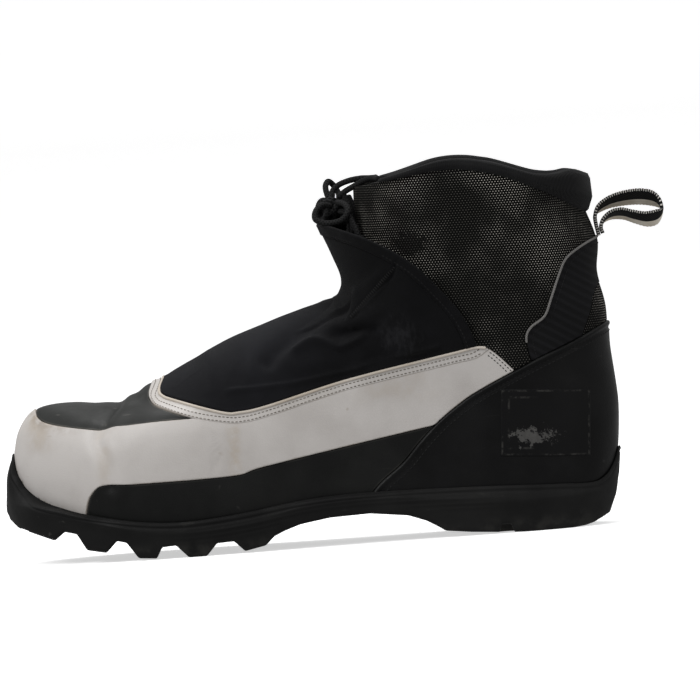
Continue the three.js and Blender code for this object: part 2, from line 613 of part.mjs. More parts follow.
const pipingPath = (side) => beside(ACHILLES_SEAM, 0, 30).filter(([x, z]) => x < 133 && z > 87)
  .map(([x, z]) => place(x, z, side, 1.1));
add("piping_lateral", cord(pipingPath(-1), 0.7, 24), "#a9a6a2", 0.6);
add("piping_medial", cord(pipingPath(1), 0.7, 24), "#a9a6a2", 0.6);

function webbingLoop() {
  const line = spline(PULL_LOOP);
  const { width, thickness, twist } = WEBBING;
  return loft(range(41).map((i) => {
    const [p, t] = [line.getPointAt(i / 40), line.getTangentAt(i / 40)];
    const turn = twist * Math.sin(Math.PI * i / 40) ** 0.7;
    return [[-1, -1], [-1, 1], [1, 1], [1, -1]].map(([across, through]) => {
      const [y, n] = [across * width / 2, through * thickness / 2];
      const lean = y * Math.sin(turn);
      return new THREE.Vector3(p.x - t.y * n, y * Math.cos(turn), p.y + t.x * n - lean * Math.abs(t.x));
    });
  }));
}
add("pull_loop", webbingLoop(), "#8d867a", 0.9);

// ---------------------------------------------------------------- lacing
const laceAt = (row, side, offset) => besideFrontLine(LACE_ROWS[row], side * LACE_LOOP.aside, offset);

function slitDirection(row, side) {
  const at = (level) => besideFrontLine(level, side * LACE_LOOP.aside, LACE_LOOP.lift);
  return at(LACE_ROWS[row] + 0.01).sub(at(LACE_ROWS[row] - 0.01)).normalize();
}

function laceLoop(row, side) {
  const { ring, thread, lift } = LACE_LOOP;
  const centre = laceAt(row, side, lift);
  const up = laceAt(row, side, lift + 1).sub(centre).normalize();
  const along = slitDirection(row, side);
  const aside = up.clone().cross(along).normalize();
  const circle = range(14).map((i) => {
    const turn = (i / 14) * 2 * Math.PI;
    const out = up.clone().multiplyScalar(Math.cos(turn)).addScaledVector(aside, Math.sin(turn));
    return range(CORD_SIDES).map((j) => {
      const roll = (j / CORD_SIDES) * 2 * Math.PI;
      const middle = centre.clone().addScaledVector(out, ring + thread * Math.cos(roll));
      return middle.addScaledVector(along, thread * Math.sin(roll));
    });
  });
  return loft(circle, true);
}
for (const row of range(LACE_ROWS.length)) {
  add(`lace_loop_lateral_${row + 1}`, laceLoop(row, -1), "#232326", 0.9);
  add(`lace_loop_medial_${row + 1}`, laceLoop(row, 1), "#232326", 0.9);
}

// One lace from end to end: up one way through every other loop, and down again through the rest.
const TOP_ROW = LACE_ROWS.length - 1;
const throughLoop = (row, side) => [-2.4, 2.4].map((step) =>
  laceAt(row, side, LACE_LOOP.lift).addScaledVector(slitDirection(row, side), step));
const passes = (startSide, above) => range(TOP_ROW + 1).flatMap((row) => {
  const side = startSide * (row % 2 ? -1 : 1);
  if (row === TOP_ROW) return throughLoop(row, side);
  const level = (LACE_ROWS[row] + LACE_ROWS[row + 1]) / 2;
  return [...throughLoop(row, side), onSkin(level, 0, LACE_LOOP.lift + (above ? 1 : -3.5))];
});
const firstBar = [-10, 0, 10].map((aside) =>
  besideFrontLine(LACE_ROWS[0] - 0.035, aside, LACE_LOOP.lift - 0.5));
const toKnot = (side) => LACE_END.map(([x, y, z]) => new THREE.Vector3(x, side * y, z));
const lacePath = [
  ...[...passes(-1, true), ...toKnot(-1)].reverse(), ...firstBar, ...passes(1, false), ...toKnot(1),
];
add("lace", cord(lacePath, LACE_RADIUS, 168), "#1b1b1d", 0.85);

const knotShape = new THREE.IcosahedronGeometry(1, 2).scale(...KNOT.size).translate(...KNOT.middle);
add("lace_knot", solidOf(knotShape), "#1b1b1d", 0.85);
for (const [name, points] of Object.entries(TIED)) {
  add(name, cord(points.map((p) => new THREE.Vector3(...p)), LACE_RADIUS, 30), "#1b1b1d", 0.85);
}

export default boot;
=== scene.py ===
"""A cross country ski boot for the left foot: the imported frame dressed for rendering.

Lengths are in millimetres up to the moment a mesh is made, and then in metres. The upper is the same smooth
skin as the frame's: loops run round it from the edge of the sole, level 0, to the rim of the cuff, level 1,
and each loop starts at the front line, angle 0, and reaches the back line at angle pi, past the outer side.
"""
import math
from types import SimpleNamespace

import bpy
import numpy as np
from mathutils import Matrix, Vector, noise


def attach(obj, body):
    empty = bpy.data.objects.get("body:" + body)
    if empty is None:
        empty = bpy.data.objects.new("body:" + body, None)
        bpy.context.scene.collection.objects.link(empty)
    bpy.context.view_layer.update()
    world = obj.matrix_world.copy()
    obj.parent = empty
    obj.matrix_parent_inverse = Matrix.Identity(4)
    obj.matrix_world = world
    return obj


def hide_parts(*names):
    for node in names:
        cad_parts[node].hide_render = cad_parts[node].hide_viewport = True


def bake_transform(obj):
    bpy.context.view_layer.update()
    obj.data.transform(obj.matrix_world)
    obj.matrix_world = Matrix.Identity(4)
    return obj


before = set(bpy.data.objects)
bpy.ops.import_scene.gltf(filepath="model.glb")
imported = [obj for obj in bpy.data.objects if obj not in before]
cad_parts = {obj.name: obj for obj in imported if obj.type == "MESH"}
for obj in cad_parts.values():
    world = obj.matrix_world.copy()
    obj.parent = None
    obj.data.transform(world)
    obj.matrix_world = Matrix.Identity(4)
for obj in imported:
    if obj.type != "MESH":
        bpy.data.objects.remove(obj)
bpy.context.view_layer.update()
MM = 0.001

# ---------------------------------------------------------------- camera
ROLL = math.radians(4.22)
ELEVATION = math.radians(2.0)
DISTANCE = 8000
AIM = Vector((7.8, 0, 95.5))
FRAME_WIDTH = 350
SENSOR = 36


def place_camera():
    """The photograph's view: from the outer side, a little above and a little rolled."""
    right = Vector((math.cos(ROLL), 0, -math.sin(ROLL)))
    level_up = Vector((math.sin(ROLL), 0, math.cos(ROLL)))
    away = Vector((0, 1, 0))
    forward = away * math.cos(ELEVATION) - level_up * math.sin(ELEVATION)
    up = level_up * math.cos(ELEVATION) + away * math.sin(ELEVATION)
    data = bpy.data.cameras.new("camera")
    data.sensor_width = SENSOR
    data.lens = SENSOR * DISTANCE / FRAME_WIDTH
    data.clip_end = 20
    camera = bpy.data.objects.new("camera", data)
    turn = Matrix((right, up, -forward)).transposed().to_4x4()
    camera.matrix_world = Matrix.Translation((AIM - forward * DISTANCE) * MM) @ turn
    bpy.context.scene.collection.objects.link(camera)
    bpy.context.scene.camera = camera


place_camera()

# ---------------------------------------------------------------- the shape, as in the frame
FRONT_LINE = [
    (-157, 30), (-162, 42), (-163, 54), (-159.6, 68), (-150, 77.8), (-131, 80), (-112, 80), (-94, 86),
    (-60, 93), (-25, 103), (0, 111), (12.5, 125), (14.5, 142), (14.5, 160), (15, 177),
]
BACK_LINE = [
    (131, 15), (136.3, 34), (138.6, 60), (136.7, 88), (136.6, 108), (133.3, 126), (134.9, 142),
    (130.5, 156.6),
]
FEATHER_HEIGHT = [
    (-157, 30), (-140, 26), (-120, 18.5), (-100, 13), (-70, 11), (-45, 14), (-20, 20), (10, 21.5), (45, 18.5),
    (80, 15), (131, 15),
]
RIM_HEIGHT = [(15, 177), (31, 179.4), (62, 183.2), (86, 179.1), (109, 169), (130.5, 156.6)]
RIDGE_HEIGHT = [
    (-165, 66), (-150, 78), (-112, 80), (-94, 86), (-60, 93), (-25, 103), (0, 113), (8, 135), (14, 190),
    (30, 330), (60, 500), (140, 700),
]
FOOT_HALF_WIDTH = [
    (-165, 31), (-150, 38), (-130, 44), (-105, 48), (-82, 48.5), (-55, 45.5), (-20, 40), (20, 36.5), (60, 35),
    (100, 34.5), (138, 33),
]
CUFF_HALF_WIDTH = [(60, 35), (90, 36.5), (115, 37.5), (135, 39), (155, 41.5), (180, 43.5)]
FOOT_CENTRE = [(-165, 6), (-130, 4), (-90, 1), (-30, -1.5), (30, 0), (138, 0)]
FRONT_ROUNDING = [(0, 58), (0.3, 52), (0.55, 40), (0.75, 38), (1, 38)]
BACK_ROUNDING = 44
WIDEST_HEIGHT = 34
RIDGE_MARGIN = 8
DOME_POWER = 2.4

RAND_HEIGHT = [
    (-163, 58.5), (-162.4, 50), (-161.2, 45), (-157.4, 38.4), (-149.5, 32.2), (-139, 28), (-128.7, 24.9),
    (-103, 19.6), (-82, 18), (-54, 19.8), (-20, 24.2), (9, 25.4), (62, 24.4), (108, 22.6), (124, 22.2),
    (130, 25.4), (134.2, 31.4), (136.5, 37.4), (139, 40),
]
TREAD_LINE = [
    (-175, 36), (-170, 28), (-168, 23.4), (-163.8, 19.2), (-146.3, 12.4), (-141, 16.5), (-134.6, 15),
    (-130, 6.7),
    (-120.7, 5), (-115, 10.6), (-110, 9.4), (-104.5, 1.3), (-95.5, 0.6), (-92.5, 6), (-85.5, 6.4), (-79.5, 0),
    (-70.5, 0), (-65, 6), (-56.5, 6.3), (-51.3, 1), (-41, 3), (-36.3, 7.3), (-31, 9.6), (-23, 12.2),
    (-8, 14.4), (12, 14.9), (31, 12.4), (40, 9), (46, 5.4), (49, 3.4), (62, 1.8), (76, 0.7), (76.6, 4.4),
    (82, 4.4),
    (82.6, 0.3), (90, 0), (113, 0), (119, 0.6), (123, 1.6), (131.5, 5.6), (135.5, 15), (137.5, 24), (145, 40),
]
SOLE_BULGE = [(-160, 13), (-150, 10.5), (-125, 5.6), (140, 5.6)]

TOE_SEAM = [
    (-144, 90), (-150.6, 78), (-150, 72.6), (-143.9, 69.4), (-131.7, 66.9), (-121.8, 65.4), (-113, 66.2),
    (-91.5, 67.6), (-78, 67.9), (-68, 68.2),
]
BINDING_SEAM = [
    (-84, 104), (-91, 88), (-94, 81), (-91.9, 76.2), (-86.6, 73.3), (-72, 67.8), (-58, 64.6), (-49, 63.8),
    (-35, 66), (7, 76.3), (56, 84.8), (72, 88), (84, 98),
]
THROAT_SEAM = [
    (-76, 104), (-85, 89.5), (-88.1, 83), (-86.6, 80), (-79.5, 77.2), (-57.8, 70.2), (-49.3, 69.6),
    (-35.1, 71.7), (7.3, 81.9), (59.1, 91.1), (71, 93), (78.1, 90.8), (88.4, 80.3), (92, 74),
]
STRIPE_SEAM = [
    (-131, 6), (-128, 28), (-124.4, 35), (-118.8, 38), (-101.5, 37.6), (-54.8, 38.2), (-40.9, 41.2),
    (-0.7, 47.9), (48.4, 55.8), (58, 57),
]
COUNTER_SEAM = [
    (0, 4), (14.7, 25.6), (29.6, 37.9), (39.4, 48.2), (49, 57.2), (59.7, 65), (70.5, 71.3), (96.9, 83.4),
    (123.3, 94.3), (148, 106),
]
ACHILLES_SEAM = [
    (148, 146), (133.6, 142.1), (124.9, 138.1), (118.5, 133.5), (114.9, 127), (110, 115.3), (105.8, 106),
    (99, 101.2), (96.1, 96.8), (96.3, 90), (98.6, 80),
]
HEEL_MESH_SEAM = [(148, 123), (134.5, 119.6), (130.7, 114), (128.5, 105.8), (121, 88)]
HEM_LINE = [
    (77, 78), (71.4, 92.1), (69, 100), (64, 110.8), (54.9, 122.9), (42.4, 136.5), (24, 148.7), (7.2, 156),
    (-5.5, 159.4), (-34, 163),
]
STAY_SEAM = [(36, 74), (27, 96), (20, 120), (10, 140), (-20, 160)]
GUSSET_LINE = [(32, 136.4), (29.4, 132), (21, 125.6), (12.7, 117.6), (6.6, 109)]

GAITER_RISE = [
    (-92, 0), (-84, 0.3), (-78.7, 1.4), (-68, 4.4), (-58, 7.2), (-45, 9), (-20, 9.6), (2, 9), (9.5, 5.2),
]
FUNNEL_RISE = [(120, 0), (126, 0.5), (136, 3), (146, 6.5), (160, 11.5), (177, 15)]
THROAT_HEIGHT = [(-88, 82), (-72, 74), (-50, 69.6), (-35, 71.7), (7, 82), (59, 91), (71, 93)]
GAITER_TOP = [(-90, 88), (-60, 93), (-25, 103), (0, 113), (14, 124)]
GAITER_REACH = 12
SLIT = [(-70, 8), (-30, 12), (5, 14), (34, 15.5)]
TONGUE_HALF_WIDTH = 21
COLLAR_HEIGHT = [
    (15, 0.9), (31, 1.2), (44, 2.2), (58, 3.8), (73, 4.6), (90, 4.9), (104, 6.4), (112, 9), (118, 12.4),
    (124, 16.6), (131, 18),
]
PULL_LOOP = [
    (136, 143.6), (135, 149.5), (134.9, 153.6), (136.8, 157), (142.7, 159.9), (150.5, 161.3),
    (158.1, 161.4), (164.4, 160), (167.8, 157.2), (168.2, 153.8), (165.8, 150.8), (160.5, 150),
    (154.5, 151.6), (148.6, 153.6), (143, 153.4), (138.8, 151), (137.4, 147.6), (138.1, 144.6),
]


def between_knots(a, b, c, d, t):
    """The Catmull-Rom spline from b to c, where a and d are the knots before and after them."""
    return 0.5 * (2 * b + (c - a) * t + (2 * a - 5 * b + 4 * c - d) * t**2 + (3 * b - a - 3 * c + d) * t**3)


class Curve:
    """A smooth curve through points, read by the share of its length."""

    def __init__(self, points, per_span=40):
        p = np.array(points, float)
        ends = np.vstack([p[:1], p, p[-1:]])
        t = np.linspace(0, 1, per_span, endpoint=False)[:, None]
        spans = [between_knots(*knots, t) for knots in zip(ends, ends[1:], ends[2:], ends[3:])]
        self.points = np.vstack(spans + [p[-1:]])
        steps = np.linalg.norm(np.diff(self.points, axis=0), axis=1)
        self.reached = np.concatenate([[0], np.cumsum(steps)])
        self.length = self.reached[-1]

    def at(self, share):
        along = np.clip(share, 0, 1) * self.length
        return np.stack([np.interp(along, self.reached, column) for column in self.points.T], -1)

    def spaced(self, count):
        return self.at(np.linspace(0, 1, count))


def graph(points):
    """A smooth function through (input, output) points, which keeps its end values outside them."""
    xs, ys = np.array(points, float).T
    before, after = np.maximum(np.arange(len(xs)) - 1, 0), np.minimum(np.arange(len(xs)) + 1, len(xs) - 1)
    slopes = (ys[after] - ys[before]) / (xs[after] - xs[before])

    def value(x):
        x = np.clip(x, xs[0], xs[-1])
        i = np.clip(np.searchsorted(xs, x, side="right") - 1, 0, len(xs) - 2)
        span = xs[i + 1] - xs[i]
        t = (x - xs[i]) / span
        ends = ys[i] * (1 + 2 * t) * (1 - t) ** 2 + ys[i + 1] * t * t * (3 - 2 * t)
        return ends + slopes[i] * span * t * (1 - t) ** 2 + slopes[i + 1] * span * t * t * (t - 1)

    return value


def mix(a, b, t):
    """a where t is 0, b where it is 1."""
    return a + (b - a) * t


def smooth(low, high, value):
    """0 at low, 1 at high, eased in between; low may be the larger of the two."""
    t = np.clip((value - low) / (high - low), 0, 1)
    return t * t * (3 - 2 * t)


def bell(value, middle, width):
    """A bump of height 1 round a middle value, fading out over about twice its width."""
    return np.exp(-(((value - middle) / width) ** 2))


def bisect(low, high, is_below, halvings):
    """The highest values between low and high for which is_below still holds."""
    for _ in range(halvings):
        middle = (low + high) / 2
        below = is_below(middle)
        low, high = np.where(below, middle, low), np.where(below, high, middle)
    return low


front_line, back_line = Curve(FRONT_LINE), Curve(BACK_LINE)
feather_height, rim_height, ridge_height = graph(FEATHER_HEIGHT), graph(RIM_HEIGHT), graph(RIDGE_HEIGHT)
foot_half_width, cuff_half_width = graph(FOOT_HALF_WIDTH), graph(CUFF_HALF_WIDTH)
foot_centre, front_rounding = graph(FOOT_CENTRE), graph(FRONT_ROUNDING)
FRONT_FOOT, FRONT_RIM = front_line.at(np.array([0, 1]))
BACK_FOOT, BACK_RIM = back_line.at(np.array([0, 1]))


def half_width(x, z):
    """Half the boot's width at x and height z: tucked in below its widest height, domed above it."""
    wide = mix(foot_half_width(x), cuff_half_width(z), smooth(60, 115, z))
    low = wide * (1 - 0.07 * ((WIDEST_HEIGHT - z) / 20) ** 2)
    rise = np.clip((z - WIDEST_HEIGHT) / (ridge_height(x) + RIDGE_MARGIN - WIDEST_HEIGHT), 0, 1)
    return np.where(z < WIDEST_HEIGHT, low, wide * (1 - rise**DOME_POWER) ** (1 / DOME_POWER))


def centreline(level, along):
    """x and z of a loop's point in the side view, and the loop's length there."""
    front, back = front_line.at(level), back_line.at(level)
    foot_x = mix(FRONT_FOOT[0], BACK_FOOT[0], along)
    rim_x = mix(FRONT_RIM[0], BACK_RIM[0], along)
    sag = feather_height(foot_x) - mix(FRONT_FOOT[1], BACK_FOOT[1], along)
    arch = rim_height(rim_x) - mix(FRONT_RIM[1], BACK_RIM[1], along)
    z = mix(front[..., 1], back[..., 1], along) + sag * (1 - level) ** 3 + arch * level**2
    return mix(front[..., 0], back[..., 0], along), z, back[..., 0] - front[..., 0]


def rounding(distance, radius):
    """0 at an edge, 1 a radius away from it, along a quarter circle."""
    return np.sqrt(1 - (1 - np.clip(distance / radius, 0, 1)) ** 2)


def skin(level, angle):
    """The skin's points at levels and angles."""
    along = (1 - np.cos(angle)) / 2
    x, z, length = centreline(level, along)
    ends = rounding(along * length, front_rounding(level)) * rounding((1 - along) * length, BACK_ROUNDING)
    centre = foot_centre(x) * (1 - smooth(80, 130, z))
    side = np.where(np.sin(angle) >= 0, -1, 1)
    return np.stack([x, centre + side * half_width(x, z) * ends, z], -1)


def outward(level, angle, reach=1):
    """The skin's normals, measured over wider steps where reach is more than 1."""
    low, high = np.maximum(level - 0.004 * reach, 0), np.minimum(level + 0.004 * reach, 1)
    up = skin(high, angle) - skin(low, angle)
    around = skin(level, angle + 0.02 * reach) - skin(level, angle - 0.02 * reach)
    normal = np.cross(around, up)
    return normal / np.linalg.norm(normal, axis=-1, keepdims=True)


def on_skin(level, angle, offset, reach=1):
    return skin(level, angle) + outward(level, angle, reach) * np.asarray(offset)[..., None]


def find_on_skin(x, z, side):
    """Levels and angles of the skin's points at x and z of the side view; side -1 is the outer side."""
    x, z = np.asarray(x, float), np.asarray(z, float)

    def along_at(level):
        front, back = front_line.at(level)[..., 0], back_line.at(level)[..., 0]
        return np.clip((x - front) / (back - front), 0, 1)

    level = bisect(
        np.zeros_like(x), np.ones_like(x), lambda middle: centreline(middle, along_at(middle))[1] < z, 26)
    angle = np.arccos(1 - 2 * along_at(level))
    return level, np.where(np.asarray(side) < 0, angle, -angle)


def beside_front_line(level, aside, offset):
    """The skin's point on one level, a distance aside of the front line."""
    angles = np.linspace(0, math.pi / 2, 400)
    across = np.abs(skin(np.full(400, level), angles)[:, 1] - skin(level, 0.0)[1])
    angle = np.interp(abs(aside), across, angles)
    return on_skin(np.float64(level), angle if aside < 0 else -angle, offset)


# ---------------------------------------------------------------- meshes
def link(name, mesh, slot, body="shoe"):
    """Puts a mesh in the scene as a named piece, riding on a body. The slot is not used."""
    piece = bpy.data.objects.new(name, mesh)
    bpy.context.scene.collection.objects.link(piece)
    if body:
        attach(piece, body)
    return piece


def enclosed(points, faces):
    """The volume inside a closed mesh, negative when its faces point in."""
    fans = np.array([(face[0], face[k], face[k + 1]) for face in faces for k in range(1, len(face) - 1)])
    a, b, c = (points[fans[:, k]] for k in range(3))
    return float(np.einsum("ij,ij->i", a, np.cross(b, c)).sum()) / 6


def mesh_of(name, points, faces, material, cloth):
    """A mesh from points in millimetres, with each point's lengths along, up and to the edge of the cloth."""
    mesh = bpy.data.meshes.new(name)
    points = np.asarray(points, float) * MM
    faces = [list(map(int, face)) for face in faces]
    if enclosed(points, faces) < 0:
        faces = [face[::-1] for face in faces]
    mesh.from_pydata(points.tolist(), [], faces)
    mesh.polygons.foreach_set("use_smooth", [True] * len(mesh.polygons))
    layer = mesh.attributes.new("cloth", "FLOAT_VECTOR", "POINT")
    layer.data.foreach_set("vector", np.asarray(cloth, float).ravel())
    mesh.materials.append(material)
    mesh.update()
    return mesh


# The cloth's third length, to its edge, where there is no edge near.
INSIDE_CLOTH = 5.0


def ring_quads(rings, around, closed=False):
    """The faces of a skin through rings of points; closed joins the last ring to the first."""
    index = np.arange(rings * around).reshape(rings, around)
    after = np.roll(index, -1, axis=0)
    quads = np.stack([index, np.roll(index, -1, axis=1), np.roll(after, -1, axis=1), after], -1)
    return (quads if closed else quads[:-1]).reshape(-1, 4).tolist()


# How many points are measured in one go, to spare memory.
AT_ONCE = 8000


def signed_distance(line, x, z):
    """How far points of the side view lie to the left of a line, negative to its right."""
    a, b = line[:-1], line[1:]
    run = b - a
    squared = (run**2).sum(1)
    result = np.empty(len(x))
    for start in range(0, len(x), AT_ONCE):
        part = slice(start, start + AT_ONCE)
        p = np.stack([x[part], z[part]], -1)[:, None, :]
        t = np.clip(((p - a) * run).sum(-1) / squared, 0, 1)
        apart = p - (a + run * t[..., None])
        far = (apart**2).sum(-1)
        nearest = far.argmin(1)
        rows = np.arange(len(nearest))
        cross = run[nearest, 0] * apart[rows, nearest, 1] - run[nearest, 1] * apart[rows, nearest, 0]
        result[part] = np.sqrt(far[rows, nearest]) * np.where(cross >= 0, 1, -1)
    return result


SEAM_RISE = 0.6
SEAMS = {
    "toe": TOE_SEAM, "binding": BINDING_SEAM, "throat": THROAT_SEAM, "stripe": STRIPE_SEAM,
    "counter": COUNTER_SEAM, "achilles": ACHILLES_SEAM, "heel_mesh": HEEL_MESH_SEAM, "hem": HEM_LINE,
    "stay": STAY_SEAM,
}
SEAMS = {name: [(x, z + SEAM_RISE) for x, z in points] for name, points in SEAMS.items()}
SEAM_LINES = {name: Curve(points).spaced(90) for name, points in SEAMS.items()}
NET_LEVELS, NET_STEPS = 180, 440
# About how far it is over the surface from sole to rim, at the front line and at the back line.
SOLE_TO_RIM = (260, 150)
# A point this close to a cut is moved onto it.
SNAP = 0.05
# The cuts round a panel: its border and three more inside it, where the edge is rounded.
RIM_CUTS = (0, 0.12, 0.4, 1.1)
# How far outside a panel's border triangles are still kept before the cuts.
CUT_MARGIN = 4


def net(window):
    """Levels, angles and triangles of a fine net over the whole skin, open at the angle window."""
    level, angle = np.meshgrid(
        np.linspace(0, 1, NET_LEVELS), window + np.linspace(0, 2 * math.pi, NET_STEPS + 1), indexing="ij")
    corner = np.arange((NET_LEVELS - 1) * (NET_STEPS + 1)).reshape(NET_LEVELS - 1, -1)[:, :-1].ravel()
    a, b, c, d = corner, corner + 1, corner + NET_STEPS + 2, corner + NET_STEPS + 1
    faces = np.concatenate([np.stack([a, b, c], -1), np.stack([a, c, d], -1)])
    return level, angle, faces


class Net:
    """The net's points with what the panels are cut by, worked out once for each window."""

    def __init__(self, window):
        level, angle, self.faces = net(window)
        place = skin(level, angle)
        steps = np.linalg.norm(np.diff(place, axis=1), axis=2)
        round_loop = np.concatenate([np.zeros((NET_LEVELS, 1)), np.cumsum(steps, 1)], 1)
        for side in (1, -1):
            middle = int(round((side * math.pi / 2 - window) % (2 * math.pi) / (2 * math.pi) * NET_STEPS))
            from_middle = round_loop - round_loop[:, middle:middle + 1]
            here = np.sin(angle) * side > (0 if side < 0 else -1e-9)
            others = along if side < 0 else 0
            along = np.where(here, place[:, middle:middle + 1, 0] + side * from_middle, others)
        flat = place.reshape(-1, 3)
        self.columns = {
            "level": level.ravel(), "angle": angle.ravel(), "round": along.ravel(),
            "x": flat[:, 0], "y": flat[:, 1], "z": flat[:, 2],
        }
        for name, line in SEAM_LINES.items():
            self.columns[name] = signed_distance(line, flat[:, 0], flat[:, 2])
        c = self.columns
        c["above_rand"] = c["z"] - graph(RAND_HEIGHT)(c["x"])
        c["to_rim"] = (1 - c["level"]) * mix(*SOLE_TO_RIM, (1 - np.cos(c["angle"])) / 2)
        front_half = np.cos(c["angle"]) > -0.2
        half_slit = np.interp(c["x"], *np.array(SLIT, float).T)
        in_slit = front_half & (c["x"] > SLIT[0][0])
        beyond_slit = np.maximum(np.abs(c["y"]), SLIT[0][0] - c["x"])
        c["off_slit"] = np.where(in_slit, np.abs(c["y"]) - half_slit, beyond_slit)
        c["outer_side"] = np.where(np.sin(c["angle"]) >= 0, 1, -1) * np.abs(c["y"])


FRONT_NET, BACK_NET = Net(-math.pi), Net(0.0)


def split(data, key, faces, at):
    """Cuts the triangles along the line where a column of the data takes a value."""
    gap = data[key] - at
    gap = np.where(np.abs(gap) < SNAP, 0, gap)
    sign = np.sign(gap)
    corner_signs = sign[faces]
    crossed = (corner_signs.max(1) > 0) & (corner_signs.min(1) < 0)
    kept, hit, hit_signs = faces[~crossed], faces[crossed], corner_signs[crossed]
    with_zero = (hit_signs == 0).any(1)
    alone = (hit_signs == -np.sign(hit_signs.sum(1))[:, None]).argmax(1)
    odd = np.where(with_zero, (hit_signs == 0).argmax(1), alone)
    rows = np.arange(len(hit))
    o, p, q = [hit[rows, (odd + k) % 3] for k in range(3)]
    op, oq, pq = np.stack([o, p], -1), np.stack([o, q], -1), np.stack([p, q], -1)
    edges = np.concatenate([pq[with_zero], op[~with_zero], oq[~with_zero]])
    unique, inverse = np.unique(np.sort(edges, 1), axis=0, return_inverse=True)
    inverse = inverse.ravel() + len(gap)
    t = gap[unique[:, 0]] / (gap[unique[:, 0]] - gap[unique[:, 1]])
    made = {}
    for name, column in data.items():
        made[name] = np.concatenate([column, mix(column[unique[:, 0]], column[unique[:, 1]], t)])
    zeros, plain = int(with_zero.sum()), int((~with_zero).sum())
    m, m1, m2 = inverse[:zeros], inverse[zeros:zeros + plain], inverse[zeros + plain:]
    oz, pz, qz = o[with_zero], p[with_zero], q[with_zero]
    on, pn, qn = o[~with_zero], p[~with_zero], q[~with_zero]
    triangles = [(oz, pz, m), (oz, m, qz), (on, m1, m2), (m1, pn, qn), (m1, qn, m2)]
    return made, np.concatenate([kept] + [np.stack(t3, -1) for t3 in triangles])


def compact(data, faces):
    """The same faces with only the points they use."""
    used, inverse = np.unique(faces, return_inverse=True)
    return {name: column[used] for name, column in data.items()}, inverse.reshape(-1, 3)


def along_surface(value, place):
    """A distance in the side view turned into one along the surface, near its zero line."""
    f = value.reshape(NET_LEVELS, -1)
    p = place.reshape(*f.shape, 3)
    (f_up, f_round), (p_up, p_round) = np.gradient(f), np.gradient(p, axis=(0, 1))
    uu, rr, ur = (p_up**2).sum(-1), (p_round**2).sum(-1), (p_up * p_round).sum(-1)
    area = np.maximum(uu * rr - ur**2, 1e-6)
    slope = np.sqrt(np.maximum(f_up**2 * rr - 2 * f_up * f_round * ur + f_round**2 * uu, 0) / area)
    return value / np.clip(slope, 0.15, 1).ravel()


def cut_out(which, inside):
    """The part of a net where inside(columns), a distance to the border, is above zero."""
    data = dict(which.columns)
    place = np.stack([data["x"], data["y"], data["z"]], -1)
    data["edge"] = along_surface(inside(data), place)
    faces = which.faces[(data["edge"][which.faces] > -CUT_MARGIN).any(1)]
    data, faces = compact(data, faces)
    for at in RIM_CUTS:
        data, faces = split(data, "edge", faces, at)
        if at == 0:
            data["edge"] = np.where(np.abs(data["edge"]) < SNAP, 0, data["edge"])
            corners = data["edge"][faces]
            faces = faces[(corners.min(1) >= 0) & (corners.max(1) > 0)]
            data, faces = compact(data, faces)
    return data, faces


def shell(name, slot, material, which, inside, bottom, thickness, relief=None, reach=1, body="shoe", rim=0.8,
          bulge=0):
    """A panel of the upper: a closed shell between two distances from the skin, with rounded borders."""
    data, faces = cut_out(which, inside)
    edge = np.maximum(data["edge"], 0)
    rounded = rounding(edge, rim)
    base = np.full(len(edge), float(bottom))
    if relief is not None:
        base = base + relief(data)
    top = base + thickness * (0.25 + 0.75 * rounded) + bulge * smooth(0, 9, edge)
    middle = base + 0.25 * thickness * (1 - rounded)
    root, normal = skin(data["level"], data["angle"]), outward(data["level"], data["angle"], reach)
    outer, inner = root + normal * top[:, None], root + normal * middle[:, None]
    border = data["edge"] <= 0
    inner_index = np.where(border, np.arange(len(edge)), np.cumsum(~border) - 1 + len(edge))
    points = np.concatenate([outer, inner[~border]])
    cloth = np.stack([data["round"], data["z"], edge], -1)
    cloth = np.concatenate([cloth, cloth[~border]])
    all_faces = np.concatenate([faces, inner_index[faces][:, ::-1]])
    return link(name, mesh_of(name, points, all_faces, material, cloth), slot, body)


